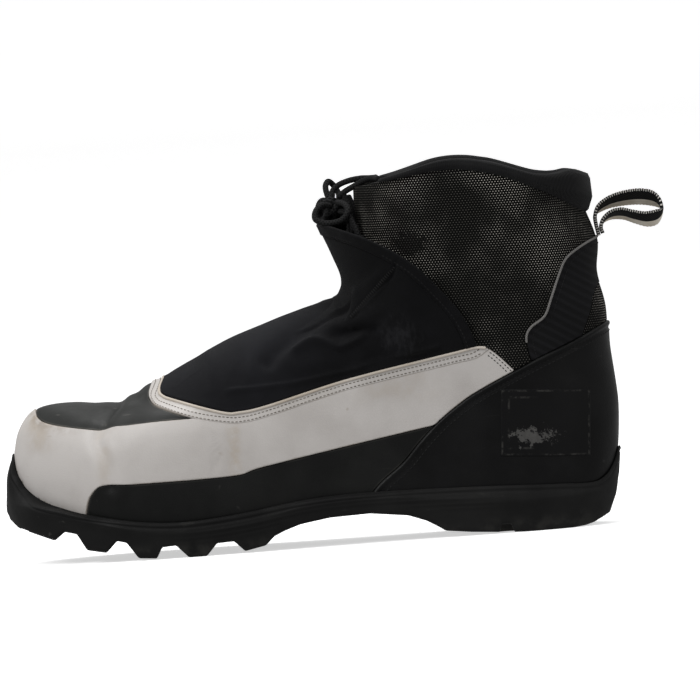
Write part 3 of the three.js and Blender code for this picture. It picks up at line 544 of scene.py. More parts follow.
# ---------------------------------------------------------------- materials
class Surface:
    """A node material built up step by step around one Principled shader."""

    def __init__(self, name, roughness=0.6, **sockets):
        self.material = bpy.data.materials.new(name)
        self.material.use_nodes = True
        self.tree = self.material.node_tree
        self.shader = self.tree.nodes["Principled BSDF"]
        self.shader.inputs["Roughness"].default_value = roughness
        for socket, value in sockets.items():
            self.shader.inputs[socket.replace("_", " ")].default_value = value
        self.place = self.node("ShaderNodeTexCoord").outputs["Object"]

    def node(self, kind, settings=None, **inputs):
        made = self.tree.nodes.new(kind)
        for key, value in (settings or {}).items():
            setattr(made, key, value)
        for key, value in inputs.items():
            numbered = key[0] == "i" and key[1:].isdigit()
            self.feed(made.inputs[int(key[1:]) if numbered else key.replace("_", " ")], value)
        return made

    def feed(self, socket, value):
        if isinstance(value, bpy.types.NodeSocket):
            self.tree.links.new(value, socket)
        else:
            socket.default_value = value

    def noise(self, scale, detail=4, roughness=0.55, stretch=None):
        """Noise whose features are about 1 / scale metres across."""
        where = self.place
        if stretch:
            where = self.node("ShaderNodeMapping", Vector=where, Scale=stretch).outputs[0]
        settings = {"Scale": scale, "Detail": detail, "Roughness": roughness}
        return self.node("ShaderNodeTexNoise", Vector=where, **settings).outputs[0]

    def cells(self, scale, feature="F1"):
        made = self.node("ShaderNodeTexVoronoi", {"feature": feature}, Vector=self.place, Scale=scale)
        return made.outputs[0]

    def math(self, operation, a, b=0.0, clamp=False):
        settings = {"operation": operation, "use_clamp": clamp}
        return self.node("ShaderNodeMath", settings, i0=a, i1=b).outputs[0]

    def plus(self, a, b, clamp=False):
        return self.math("ADD", a, b, clamp)

    def minus(self, a, b):
        return self.math("SUBTRACT", a, b)

    def times(self, a, b):
        return self.math("MULTIPLY", a, b)

    def inverse(self, a):
        return self.math("SUBTRACT", 1.0, a)

    def sine(self, a):
        return self.math("SINE", a)

    def waves(self, value, pitch):
        """A sine wave of value that repeats every pitch."""
        return self.sine(self.times(value, 2 * math.pi / pitch))

    def oval(self, a, b, middle, half):
        """How far (a, b) lies from the middle of an oval, as a share of its half axes."""
        offsets = [self.times(self.minus(v, m), 1 / h) for v, m, h in zip((a, b), middle, half)]
        return self.math("SQRT", self.plus(*[self.times(v, v) for v in offsets]))

    def between(self, value, low, high):
        """0 below low, 1 above high, smooth in between."""
        ease = {"interpolation_type": "SMOOTHSTEP"}
        return self.node("ShaderNodeMapRange", ease, i0=value, i1=low, i2=high).outputs[0]

    def below(self, value, low, high):
        """1 below low, 0 above high, smooth in between."""
        return self.inverse(self.between(value, low, high))

    def spread(self, value, low, high, start, end):
        """start where value is low, end where it is high."""
        return self.node("ShaderNodeMapRange", i0=value, i1=low, i2=high, i3=start, i4=end).outputs[0]

    def colours(self, fac, a, b):
        """A mix of two colours, a where fac is 0 and b where it is 1."""
        made = self.node("ShaderNodeMix", {"data_type": "RGBA"}, i0=fac)
        first_colour = 6
        for number, value in enumerate((a, b), first_colour):
            self.feed(made.inputs[number], (*value, 1) if isinstance(value, tuple) else value)
        return made.outputs[2]

    def cloth(self):
        """Outputs: lengths along and up the cloth and to its edge, in millimetres."""
        made = self.node("ShaderNodeAttribute", {"attribute_name": "cloth"})
        return self.node("ShaderNodeSeparateXYZ", Vector=made.outputs["Vector"]).outputs

    def axes(self):
        return self.node("ShaderNodeSeparateXYZ", Vector=self.place).outputs

    def bump(self, height, depth, strength=1.0):
        """Adds a bump of a given depth in millimetres under those already there."""
        inputs = {"Height": height, "Distance": depth * MM, "Strength": strength}
        if self.shader.inputs["Normal"].links:
            inputs["Normal"] = self.shader.inputs["Normal"].links[0].from_socket
        made = self.node("ShaderNodeBump", **inputs)
        self.feed(self.shader.inputs["Normal"], made.outputs[0])

    def finish(self, colour, roughness=None):
        self.feed(self.shader.inputs["Base Color"], colour)
        if roughness is not None:
            self.feed(self.shader.inputs["Roughness"], roughness)
        return self.material


def leather(name, colour, worn, dirt, roughness, grain=1.0, scuff=0.35, dirt_edge=1.2, gloss=0.15,
            stained=False):
    """Grained leather with cloudy wear, fine scratches, spots, and dirt along its edges."""
    s = Surface(name, roughness, Specular_IOR_Level=gloss)
    cloud = s.noise(28, 5)
    patch = s.noise(9, 3)
    base = s.colours(s.between(cloud, 0.35, 0.7), colour, worn)
    fine = s.noise(2200, 3, 0.6)
    scratch_a = s.noise(260, 3, 0.7, stretch=(0.05, 0.3, 1.0))
    scratch = s.between(scratch_a, 0.68, 0.74)
    base = s.colours(s.times(scratch, scuff), base, dirt)
    edge = s.cloth()[2]
    near_edge = s.below(edge, 0.2, dirt_edge)
    dirty = s.times(near_edge, s.between(s.noise(60, 3), 0.3, 0.65))
    base = s.colours(s.times(dirty, 0.45), base, dirt)
    if stained:
        base = stains(s, base, edge)
    spots = s.between(s.noise(140, 2, 0.5), 0.72, 0.8)
    base = s.colours(s.times(spots, 0.35), base, dirt)
    s.bump(s.cells(1500, "SMOOTH_F1"), 0.05 * grain)
    s.bump(fine, 0.02 * grain)
    s.bump(patch, 0.5, 0.5)
    s.bump(scratch_a, 0.05, 0.5)
    return s.finish(base, s.spread(s.noise(45, 4), 0.3, 0.75, roughness - 0.08, roughness + 0.12))


def stains(s, base, edge):
    """Yellowed flex zones and scuffs on the toe, and small black nicks along the rand at its tip."""
    x, _, z = s.axes()
    beige = (0.40, 0.335, 0.26)
    for middle, half, low, high, amount in (
            (-0.0530, 0.0050, 0.036, 0.066, 0.55), (-0.1180, 0.0060, 0.030, 0.066, 0.30),
            (-0.1500, 0.0100, 0.058, 0.080, 0.45), (0.0300, 0.0300, 0.070, 0.092, 0.22)):
        across = s.math("DIVIDE", s.minus(x, middle), half)
        band = s.below(s.math("ABSOLUTE", across), 0.1, 1.0)
        tall = s.times(s.between(z, low - 0.004, low + 0.004), s.below(z, high - 0.004, high + 0.004))
        here = s.times(s.times(band, tall), s.between(s.noise(110, 5, 0.65), 0.35, 0.65))
        base = s.colours(s.times(here, amount), base, beige)
    toe = s.below(x, -0.158, -0.120)
    low = s.below(edge, 0.8, 7.0)
    grime = s.times(s.times(toe, low), s.between(s.noise(150, 5, 0.7), 0.42, 0.62))
    base = s.colours(s.times(grime, 0.5), base, (0.22, 0.17, 0.12))
    tip = s.below(x, -0.152, -0.140)
    rim = s.below(edge, 1.6, 5.4)
    tip = s.times(tip, s.below(z, 0.046, 0.052))
    nick = s.times(s.times(tip, rim), s.between(s.noise(230, 3, 0.6), 0.55, 0.58))
    base = s.colours(nick, base, (0.012, 0.011, 0.010))
    return base


def softshell():
    """A fine diagonal weave, faded over the instep and scuffed at the side of the ankle."""
    s = Surface("softshell", 0.88, Sheen_Weight=0.02, Sheen_Roughness=0.5, Specular_IOR_Level=0.12)
    x, y, z = s.axes()
    yarn = 0.00055
    weave = s.times(s.waves(s.plus(s.plus(x, z), y), yarn), s.waves(s.minus(s.minus(x, z), y), yarn))
    cloud = s.between(s.plus(s.noise(18, 4), s.times(s.noise(90, 3), 0.25)), 0.5, 0.8)
    instep = s.below(x, -0.030, 0.004)
    fade = s.plus(s.times(instep, 0.55), s.times(cloud, 0.45), True)
    base = s.colours(fade, (0.0036, 0.0036, 0.0042), (0.0125, 0.0127, 0.0152))
    far = s.oval(x, z, (0.0325, 0.102), (0.010, 0.009))
    streak = s.noise(420, 4, 0.7, stretch=(1.0, 1.0, 0.3))
    scuff = s.between(s.minus(streak, s.times(far, 0.22)), 0.24, 0.6)
    base = s.colours(s.times(scuff, 0.45), base, (0.030, 0.030, 0.033))
    funnel = s.times(s.between(z, 0.104, 0.122), s.between(x, -0.008, 0.006))
    base = s.colours(s.times(funnel, 0.7), base, (0.0014, 0.0014, 0.0016))
    lint = s.between(s.noise(900, 2, 0.7), 0.7, 0.78)
    base = s.colours(s.times(lint, 0.3), base, (0.03, 0.03, 0.034))
    s.bump(weave, 0.06)
    s.bump(s.noise(60, 4), 0.3, 0.6)
    return s.finish(base)


def spacer_mesh():
    """Black mesh whose light ground shows as rows of small staggered ovals."""
    s = Surface("spacer_mesh", 0.8, Specular_IOR_Level=0.06)
    along, up, _ = s.cloth()
    pitch, row = 1.5, 1.18
    wobble = s.times(s.minus(s.noise(400, 1), 0.5), 0.35)
    up = s.plus(up, wobble)
    rows = s.math("DIVIDE", up, row)
    odd = s.math("MODULO", s.plus(s.math("FLOOR", rows), 400.0), 2.0)
    across = s.plus(s.plus(s.math("DIVIDE", along, pitch), 400.0), s.times(odd, 0.5))
    shares = s.math("FRACT", across), s.math("FRACT", s.plus(rows, 400.0))
    dot = s.below(s.oval(*shares, (0.5, 0.5), (0.34 / pitch, 0.24 / row)), 0.55, 1.0)
    tone = s.colours(s.between(s.noise(24, 3), 0.4, 0.66), (0.11, 0.106, 0.094), (0.84, 0.80, 0.72))
    x, y, z = s.axes()
    far = s.oval(x, z, (0.041, 0.1475), (0.013, 0.0085))
    worn_print = s.below(s.plus(far, s.times(s.noise(330, 5, 0.75), 1.6)), 1.3, 1.6)
    worn_print = s.times(worn_print, s.math("LESS_THAN", y, 0.0))
    tone = s.colours(s.times(worn_print, 0.85), tone, (0.006, 0.006, 0.006))
    thread = s.colours(s.noise(1500, 2), (0.0022, 0.0022, 0.0021), (0.0045, 0.0044, 0.004))
    s.bump(s.inverse(dot), 0.22)
    s.bump(s.noise(1800, 2), 0.05)
    return s.finish(s.colours(dot, thread, tone))


def rubber():
    """Matt black sole rubber, scuffed grey at the toe and dusty near the ground."""
    s = Surface("sole_rubber", 0.62, Specular_IOR_Level=0.15)
    x, _, z = s.axes()
    base = s.colours(s.between(s.noise(22, 5), 0.35, 0.75), (0.004, 0.004, 0.004), (0.009, 0.009, 0.0088))
    scuffed = s.between(s.noise(180, 5, 0.7, stretch=(0.25, 1, 1.0)), 0.62, 0.74)
    toe = s.below(x, -0.165, -0.1)
    amount = s.times(scuffed, s.plus(s.times(toe, 0.45), 0.1))
    base = s.colours(amount, base, (0.09, 0.088, 0.08))
    low = s.below(z, 0.001, 0.01)
    dusty = s.times(low, s.between(s.noise(120, 4), 0.4, 0.7))
    base = s.colours(s.times(dusty, 0.3), base, (0.06, 0.058, 0.052))
    s.bump(s.noise(900, 4, 0.6), 0.06)
    s.bump(s.noise(35, 3), 0.25, 0.6)
    return s.finish(base, s.spread(s.noise(70, 4), 0.3, 0.7, 0.5, 0.75))


def knit(name, colour, faded, pitch=0.9, sheen=0.05):
    """Fine ribs that run across the piece, from the cloth's own lengths."""
    s = Surface(name, 0.92, Sheen_Weight=sheen, Sheen_Roughness=0.5, Specular_IOR_Level=0.08)
    along, up, _ = s.cloth()
    rib = s.waves(along, pitch)
    stitch = s.sine(s.plus(s.times(up, 2 * math.pi / (pitch * 1.3)), s.times(rib, 1.2)))
    height = s.plus(rib, s.times(stitch, 0.5))
    base = s.colours(s.between(s.noise(25, 4), 0.4, 0.75), colour, faded)
    base = s.colours(s.times(s.between(height, -1.2, 0.8), 0.5), base, faded)
    s.bump(height, 0.09)
    s.bump(s.noise(50, 3), 0.4, 0.5)
    return s.finish(base)


def braid(name, colour, light, pitch=1.6, turns=4):
    """Crossing yarns round a cord: the cloth's lengths are along it and, as a share of a turn, round it."""
    s = Surface(name, 0.8, Specular_IOR_Level=0.15)
    along, turn, _ = s.cloth()
    run = s.times(along, 2 * math.pi / pitch)
    roll = s.times(turn, 2 * math.pi * turns)
    a = s.sine(s.plus(run, roll))
    b = s.sine(s.minus(run, roll))
    height = s.math("MAXIMUM", a, b)
    base = s.colours(s.between(height, 0.1, 1.0), colour, light)
    s.bump(height, 0.14)
    return s.finish(base)


def webbing():
    """Woven tape, black on one half and beige on the other: cloth is along, across and through it."""
    s = Surface("webbing", 0.85, Specular_IOR_Level=0.15)
    along, across, _ = s.cloth()
    rib = s.waves(along, 1.15)
    yarn = s.waves(across, 0.9)
    chevron = s.sine(s.plus(s.times(along, 3.6), s.times(s.math("ABSOLUTE", across), 4.0)))
    beige = s.colours(s.between(s.noise(90, 4), 0.3, 0.7), (0.80, 0.75, 0.66), (0.60, 0.53, 0.43))
    black = s.colours(s.between(chevron, -0.4, 0.9), (0.003, 0.003, 0.003), (0.012, 0.012, 0.012))
    picot = s.times(s.between(s.math("ABSOLUTE", across), 5.8, 6.0), s.between(rib, 0.2, 0.6))
    half = s.between(across, 0.6, 0.8)
    base = s.colours(half, black, beige)
    base = s.colours(picot, base, (0.66, 0.64, 0.6))
    s.bump(s.times(rib, yarn), 0.12)
    s.bump(chevron, 0.08)
    return s.finish(base)


def striped_fabric():
    """Black cloth with soft diagonal stripes."""
    s = Surface("striped_fabric", 0.85, Specular_IOR_Level=0.12)
    x, _, z = s.axes()
    sway = s.times(s.noise(20, 2), 0.004)
    lean = s.plus(s.plus(s.times(x, 0.62), z), sway)
    wave = s.waves(lean, 0.0044)
    base = s.colours(s.between(wave, -0.5, 0.9), (0.006, 0.006, 0.0065), (0.0095, 0.0095, 0.0105))
    fine = s.waves(s.minus(x, z), 0.0005)
    s.bump(wave, 0.12)
    s.bump(fine, 0.04)
    s.bump(s.noise(70, 3), 0.3, 0.5)
    return s.finish(base)


def worn_label():
    """A dark film with a thin light outline, rubbed away in spots; cloth is across, up and to the edge."""
    s = Surface("worn_label", 0.46, Specular_IOR_Level=0.1)
    across, up, edge = s.cloth()
    line = s.times(s.between(edge, 0.3, 0.7), s.below(edge, 1.0, 1.6))
    inner = s.times(s.between(edge, 3.4, 3.8), s.below(edge, 4.2, 4.9))
    line = s.math("MAXIMUM", line, s.times(inner, s.below(across, 10.0, 22.0)))
    line = s.times(line, s.between(s.noise(150, 5, 0.75), 0.47, 0.60))
    far = s.oval(across, up, (17.0, 12.0), (11.0, 4.2))
    speckle = s.minus(s.noise(260, 6, 0.75), s.times(far, 0.20))
    rubbed = s.between(speckle, 0.33, 0.37)
    flakes = s.between(s.noise(330, 5, 0.8), 0.68, 0.71)
    base = s.colours(s.noise(60, 3), (0.003, 0.003, 0.0032), (0.0055, 0.0055, 0.0058))
    base = s.colours(s.times(flakes, 0.4), base, (0.05, 0.05, 0.048))
    base = s.colours(s.times(line, 0.7), base, (0.042, 0.041, 0.038))
    base = s.colours(rubbed, base, s.colours(s.noise(600, 3), (0.045, 0.044, 0.042), (0.085, 0.083, 0.08)))
    s.bump(s.inverse(rubbed), 0.06)
    s.bump(s.noise(900, 3), 0.04)
    return s.finish(base)


def plain(name, colour, other, roughness, depth=0.05, metallic=0.0, scale=300):
    s = Surface(name, roughness, Metallic=metallic, Specular_IOR_Level=0.3)
    base = s.colours(s.between(s.noise(scale, 4), 0.35, 0.7), colour, other)
    s.bump(s.noise(scale * 3, 3), depth)
    smoother, rougher = roughness * 0.8, min(roughness * 1.2, 1)
    return s.finish(base, s.spread(s.noise(scale / 4, 3), 0.3, 0.7, smoother, rougher))


WHITE = leather("white_leather", (0.50, 0.475, 0.455), (0.425, 0.40, 0.38), (0.25, 0.19, 0.13),
                0.42, 0.8, scuff=0.3, dirt_edge=0.8, gloss=0.35, stained=True)
BORDER = leather("border_leather", (0.50, 0.475, 0.455), (0.44, 0.415, 0.39), (0.25, 0.19, 0.13),
                 0.42, 0.8, scuff=0.2, dirt_edge=0.5, gloss=0.35)
EDGE = leather("leather_edge", (0.55, 0.50, 0.44), (0.45, 0.39, 0.32), (0.3, 0.22, 0.15),
               0.6, 0.5, scuff=0.3)
# The toe top: the same black leather as the strips, painted lighter where it faces up, as if lit from above.
TOE_TOP_PAINTED_LIT = leather("toe_leather_painted_lit", (0.0088, 0.0095, 0.0086), (0.0175, 0.0185, 0.0172), (0.14, 0.135, 0.12),
                  0.5, 1.0, gloss=0.25)
CHARCOAL = leather("black_leather", (0.0052, 0.0054, 0.0052), (0.0098, 0.01, 0.0096), (0.05, 0.048, 0.044),
                   0.5, 1.0, scuff=0.3, gloss=0.12)
COUNTER = leather("counter_leather", (0.0032, 0.0032, 0.0033), (0.0068, 0.0068, 0.007), (0.035, 0.035, 0.035),
                  0.42, 1.2, scuff=0.3, gloss=0.1)
SOFTSHELL = softshell()
MESH = spacer_mesh()
RUBBER = rubber()
KNIT = knit("collar_knit", (0.0045, 0.0045, 0.0048), (0.013, 0.013, 0.0135))
LINING = knit("lining_fabric", (0.01, 0.01, 0.0105), (0.03, 0.03, 0.031), 1.3)
LACE = braid("lace_braid", (0.003, 0.003, 0.003), (0.016, 0.016, 0.0165))
PIPING = braid("piping_cord", (0.10, 0.098, 0.095), (0.26, 0.25, 0.24), 0.9, 3)
WEBBING = webbing()
STRIPED = striped_fabric()
LABEL = worn_label()
THREAD_DARK = plain("thread_dark", (0.10, 0.085, 0.07), (0.22, 0.195, 0.17), 0.8)
THREAD_BLACK = plain("thread_black", (0.002, 0.002, 0.002), (0.007, 0.007, 0.0075), 0.8)
STEEL = plain("bar_steel", (0.55, 0.55, 0.56), (0.35, 0.34, 0.33), 0.3, 0.02, 1.0)
PLASTIC = plain("shank_plastic", (0.008, 0.008, 0.009), (0.015, 0.015, 0.016), 0.5)
BOARD = plain("fibre_board", (0.26, 0.2, 0.13), (0.18, 0.14, 0.09), 0.9, 0.1)
PUFF = plain("stiffener_sheet", (0.4, 0.37, 0.31), (0.3, 0.28, 0.24), 0.8)
FELT = plain("insole_felt", (0.015, 0.015, 0.018), (0.035, 0.035, 0.04), 0.95, 0.25, 0.0, 700)


# ---------------------------------------------------------------- outer panels
CREASES = {
    "toe": Curve([
        (-106, 86), (-109.5, 79.5), (-112.8, 76), (-115.8, 71.3), (-117.8, 66.2), (-120.6, 61),
        (-117.6, 50.7), (-116.6, 44), (-116, 38)]).spaced(50),
    "side": Curve([(-64.5, 63), (-62, 52), (-63, 41), (-66, 34)]).spaced(20),
    "flex": Curve([(-53, 66), (-52, 56), (-53.5, 44)]).spaced(20),
}
GAP = 0.06
UNDER = 0.6


def ripple(x, y, z, size, depth, seed=0.0):
    """Soft random waves about size across and depth high."""
    points = np.stack([x, y, z], -1) / size + seed
    return depth * np.array([noise.noise(Vector(p)) for p in points])


def wear(data):
    """Soft dents and flex creases of the worn upper, as a distance out from the skin."""
    x, z = data["x"], data["z"]
    toe_crease = signed_distance(CREASES["toe"], x, z)
    side_crease = signed_distance(CREASES["side"], x, z)
    flex_crease = signed_distance(CREASES["flex"], x, z)
    dents = -mix(0.9, 2.3, smooth(66, 79, z)) * bell(toe_crease, 0, 2.9)
    beside_crease = 0.55 * bell(toe_crease, 6.5, 3.4) + 0.3 * bell(toe_crease, -6, 3.6)
    dents += beside_crease * smooth(80, 70, z)
    dents -= 1.5 * bell(x, -121, 11) * smooth(68, 76, z)
    dents -= 1.9 * bell(x, -100.5, 4.2) * smooth(76, 82, z)
    dents -= 0.45 * bell(side_crease, 0, 1.3) * smooth(38, 46, z) * smooth(64, 56, z)
    dents -= 0.35 * bell(flex_crease, 0, 1.8) * smooth(40, 48, z) * smooth(68, 60, z)
    waves = ripple(x, data["y"], z, 46, 0.55) + ripple(x, data["y"], z, 17, 0.22)
    return (dents + waves) * smooth(1, 9, data["above_rand"])


def counter_wear(data):
    """The same wear with a rolled border along the counter's seam and a groove inside it."""
    inside = -data["counter"]
    return wear(data) + 0.45 * bell(inside, 1.3, 0.9) - 0.5 * bell(inside, 3.1, 0.7)


def near(data, name, at=0.0, side=1):
    """The distance to one side of a seam, less a gap."""
    return side * data[name] - at


def smallest(*values):
    return np.minimum.reduce(values)


def make_panels():
    """The outer panels of the shoe, each a shell over the part of the net its own rule keeps."""
    def white(d):
        return smallest(
            np.maximum(near(d, "toe", GAP, -1), d["x"] + 72), near(d, "stripe", GAP), near(d, "counter", GAP),
            near(d, "binding", -UNDER, -1), near(d, "throat", GAP, -1), near(d, "above_rand", -3),
            d["off_slit"])

    def toe_top(d):
        return smallest(near(d, "toe", GAP), near(d, "binding", GAP, -1), d["off_slit"], -55 - d["x"])

    def strip(side):
        return lambda d: smallest(
            near(d, "stripe", GAP, -1), near(d, "counter", GAP), near(d, "above_rand", -3),
            np.where(side * d["outer_side"] > 0, 1e3, -1e3))

    def border(d):
        return smallest(
            near(d, "binding", GAP), near(d, "throat", GAP, -1), near(d, "counter", GAP), d["off_slit"] + 30)

    def counter(d):
        return smallest(near(d, "counter", GAP, -1), near(d, "above_rand", -3))

    def mesh_cuff(d):
        open_front = np.abs(d["y"]) - 3.2 + 4 * (1 - smooth(120, 150, d["z"]))
        front = np.where(np.cos(d["angle"]) > 0, open_front, 1e3)
        return smallest(
            near(d, "throat", GAP), near(d, "counter", GAP), near(d, "achilles", GAP, -1),
            near(d, "stay", GAP, -1), front, d["to_rim"])

    def stay(d):
        return smallest(near(d, "throat", GAP), near(d, "stay", GAP), d["off_slit"])

    def achilles(d):
        return smallest(
            near(d, "achilles", GAP), near(d, "counter", GAP), near(d, "heel_mesh", GAP, -1), d["to_rim"])

    def heel_mesh(d):
        return smallest(near(d, "heel_mesh", GAP), near(d, "counter", GAP), near(d, "achilles", GAP))

    shells = [
        ("white_side", "white_leather", WHITE, FRONT_NET, white, 0.8, 0.3, ["white_panel"]),
        ("toe_top_leather", "black_leather", TOE_TOP_PAINTED_LIT, FRONT_NET, toe_top, 0.25, 0.2, ["toe_top_panel"]),
        ("strip_outer", "black_leather", CHARCOAL, FRONT_NET, strip(1), 0.25, 0.2, ["side_strip_lateral"]),
        ("strip_inner", "black_leather", CHARCOAL, FRONT_NET, strip(-1), 0.25, 0.2, ["side_strip_medial"]),
        ("throat_border", "white_leather", BORDER, FRONT_NET, border, 1.05, 0.35, ["throat_binding"]),
        ("heel_cover", "black_leather", COUNTER, BACK_NET, counter, 1.15, 0.6, ["heel_counter"]),
        ("cuff_mesh", "spacer_mesh", MESH, FRONT_NET, mesh_cuff, 0.0, 0.3,
         ["mesh_cuff_lateral", "mesh_cuff_medial"]),
        ("lace_stay", "black_leather", CHARCOAL, FRONT_NET, stay, 0.0, 0.4, ["eyestay"]),
        ("achilles_cover", "softshell", STRIPED, BACK_NET, achilles, 0.5, 0.4, ["achilles_panel"]),
        ("heel_mesh", "spacer_mesh", MESH, BACK_NET, heel_mesh, 0.2, 0.2, ["heel_mesh_insert"]),
    ]
    for name, slot, material, which, inside, top, rim, nodes in shells:
        relief = counter_wear if name == "heel_cover" else wear
        piece = shell(name, slot, material, which, inside, -1.0, top + 1.0, relief, rim=rim)
        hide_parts(*nodes)


# ---------------------------------------------------------------- lining, tongue and collar
def make_lining():
    def inside(d):
        off_heel_line = (math.pi - np.abs(d["angle"])) * 30
        return smallest(d["off_slit"], d["to_rim"], d["level"] * 180 - 0.5, off_heel_line)

    piece = shell("inner_lining", "lining_fabric", LINING, FRONT_NET, inside, -6.7, 2.6, rim=1.0)
    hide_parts("toe_lining", "vamp_lining", "quarter_lining_lateral", "quarter_lining_medial")


TONGUE_LINE = [(-52, 60), (-52, 140), (5, 215), (52, 215), (44, 150), (32, 118), (0, 84), (-52, 60)]


def make_tongue():
    outline = np.array(TONGUE_LINE, float)
    outline = np.concatenate([mix(a, b, np.linspace(0, 1, 12, endpoint=False)[:, None])
                              for a, b in zip(outline, outline[1:])])

    def inside(d):
        side = signed_distance(np.vstack([outline, outline[:1]]), d["x"], d["z"])
        return smallest(-side, TONGUE_HALF_WIDTH - np.abs(d["y"]), d["to_rim"])

    piece = shell("tongue_pad", "softshell", SOFTSHELL, FRONT_NET, inside, -11.4, 2.6, rim=1.1, bulge=0.5,
                  body="tongue_flap")
    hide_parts("tongue")


COLLAR_PROFILE = [
    (0.7, 0), (1.6, 0.3), (1.3, 0.7), (0.2, 0.95), (-2.6, 1.04), (-5.6, 0.97), (-7.8, 0.68), (-8.4, 0.3),
    (-7, 0),
]


def closed_smooth(points, count):
    """Points spaced along a closed smooth curve."""
    line = Curve(list(points) + list(points[:3]), 12)
    share = np.linspace(0, 1, 400)
    path = line.at(share)
    first = np.argmin(np.linalg.norm(path - np.array(points[1]), axis=1)[:200])
    last = 200 + np.argmin(np.linalg.norm(path[200:] - np.array(points[1]), axis=1))
    loop = path[first:last + 1]
    reached = np.concatenate([[0], np.cumsum(np.linalg.norm(np.diff(loop, axis=0), axis=1))])
    at = np.linspace(0, reached[-1], count, endpoint=False)
    return np.stack([np.interp(at, reached, column) for column in loop.T], -1)


def loft_mesh(name, rings, material, cloth):
    """A closed mesh through rings of points; both end rings are closed by fans to their middles."""
    rings = np.asarray(rings, float)
    count, across = rings.shape[:2]
    points = rings.reshape(-1, 3)
    middles = [rings[0].mean(0), rings[-1].mean(0)]
    cloth = np.concatenate([cloth.reshape(-1, 3), cloth[0].mean(0)[None], cloth[-1].mean(0)[None]])
    first, last = len(points), len(points) + 1
    end = (count - 1) * across
    fans = [[first, (j + 1) % across, j] for j in range(across)]
    fans += [[last, end + j, end + (j + 1) % across] for j in range(across)]
    return mesh_of(name, np.vstack([points, middles]), ring_quads(count, across) + fans, material, cloth)


def make_collar():
    """The padded roll along the boot's rim, slimmer towards its two front ends."""
    turns = np.linspace(0.66, 2 * math.pi - 0.66, 200)
    profile = closed_smooth(COLLAR_PROFILE, 26)
    height = graph(COLLAR_HEIGHT)
    rings, cloth, along, last = [], [], 0.0, None
    for turn in turns:
        ends = min(turn - turns[0], turns[-1] - turn)
        slim = math.sqrt(1 - (1 - min(ends / 0.09, 1)) ** 2) * 0.92 + 0.08
        seat = skin(np.float64(1), np.float64(turn))
        out, rise = outward(np.float64(1), np.float64(turn)), float(height(seat[0]))
        swell = 1 + 0.05 * noise.noise(Vector((turn * 2.1, 0, 3)))
        ring = []
        lobe = 2.4 * smooth(112, 128, seat[0])
        for aside, up in profile:
            aside = mix(-3.4, aside, slim) + lobe * smooth(-1, 0.6, aside) * smooth(-0.05, 0.16, up)
            lift = up * (rise * swell * mix(0.75, 1, slim) + 0.95) - 0.3
            ring.append(seat + out * aside + np.array([0, 0, lift]))
        if last is not None:
            along += float(np.linalg.norm(seat - last))
        last = seat
        rings.append(ring)
        cloth.append([(along, float(j), INSIDE_CLOTH) for j in range(len(profile))])
    mesh = loft_mesh("collar_roll", rings, KNIT, np.array(cloth))
    piece = link("collar_roll", mesh, "collar_knit")
    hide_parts("collar_pad")


# ---------------------------------------------------------------- gaiter
gaiter_rise, funnel_rise = graph(GAITER_RISE), graph(FUNNEL_RISE)
throat_height, gaiter_top = graph(THROAT_HEIGHT), graph(GAITER_TOP)
HEM_WIDTH = 5.5


def gaiter_lift(x, z):
    """How far the gaiter stands off the skin: little at its seam, and most over the lacing."""
    up = smooth(0, 0.85, (z - throat_height(x)) / (gaiter_top(x) - throat_height(x)))
    return 0.6 + (gaiter_rise(x) + funnel_rise(z)) * up * (1 - 0.9 * smooth(10, 75, x))


# Folds of the gaiter: the line they follow in the side view, their half width, how far they stand out,
# and the share of it that is left at the front line.
FOLDS = [
    ([(6, 120), (-3, 116.5), (-11.3, 111.9), (-20, 106.4), (-27, 101), (-33, 95)], 4.6, -4.2, 0.2),
    ([(-19, 99), (-13.2, 102.4), (-5.7, 102.6), (1.6, 99.4), (5, 99.5), (9.2, 101), (15, 104)],
     2.3, 2.2, 0.3),
    ([(3, 105.4), (10, 106), (20, 107)], 3.0, -3.6, 0.3),
    ([(14, 126), (11, 117), (8, 109)], 2.2, 1.4, 0.3),
    ([(35, 140), (33.3, 137), (30.7, 131.2), (21.6, 124.4), (13.5, 116.5), (7.6, 108.3)], 1.0, -0.9, 0.3),
    ([(27, 134), (18, 127), (10, 119)], 3.0, 1.0, 0.3),
    ([(19, 90.5), (28, 89.5)], 4.6, -2.4, 0.3),
    ([(33, 111), (39, 104), (40, 96)], 4.0, 1.8, 0.3),
    ([(-53, 81), (-35, 81.4), (-13.7, 83.2), (8, 87), (30, 91.5), (51, 95)], 1.5, 1.3, 0.3),
    ([(-64, 98), (-62, 90), (-62, 82)], 3.0, 0.8, 0.2),
    ([(-45, 98), (-48, 88)], 4.0, -1.1, 0.3),
    ([(-28, 96), (-20, 91), (-8, 92)], 4.5, 0.9, 0.3),
]
# How far out the cloth stays in front, where the lace loops lie under it.
OVER_LOOPS = 7.0


def folds(x, z, aside):
    """How far the folds stand out; aside is 0 at the front line and 1 beside it."""
    total = np.zeros_like(x)
    for points, width, height, in_front in FOLDS:
        depth = height * mix(in_front, 1, aside)
        total += depth * bell(signed_distance(Curve(points).spaced(24), x, z), 0, width)
    return total


def gaiter_relief(data):
    """The gaiter's distance from the skin, with its folds, and clear of the lace loops in front."""
    x, y, z = data["x"], data["y"], data["z"]
    soft = smooth(0.5, 5, data["throat"])
    lift = gaiter_lift(x, z) - 0.45 * (1 - soft)
    place = on_skin(data["level"], data["angle"], lift + 1.2, GAITER_REACH)
    spread = smooth(0, 9, data["hem"])
    folded = folds(place[:, 0], place[:, 2], smooth(4, 15, np.abs(y))) * mix(0.3, 1, spread)
    shape = lift + soft * (folded + ripple(x, y, z, 21, 0.6, 4.0))
    above_lacing = OVER_LOOPS * (1 - smooth(22, 27, np.abs(y)))
    return np.maximum(shape, np.minimum(lift, above_lacing))


def hem_relief(data):
    """The gaiter's own shape, puckered by the hem's stitching."""
    return gaiter_relief(data) + ripple(data["x"], data["y"], data["z"], 4.5, 0.4, 9.0)


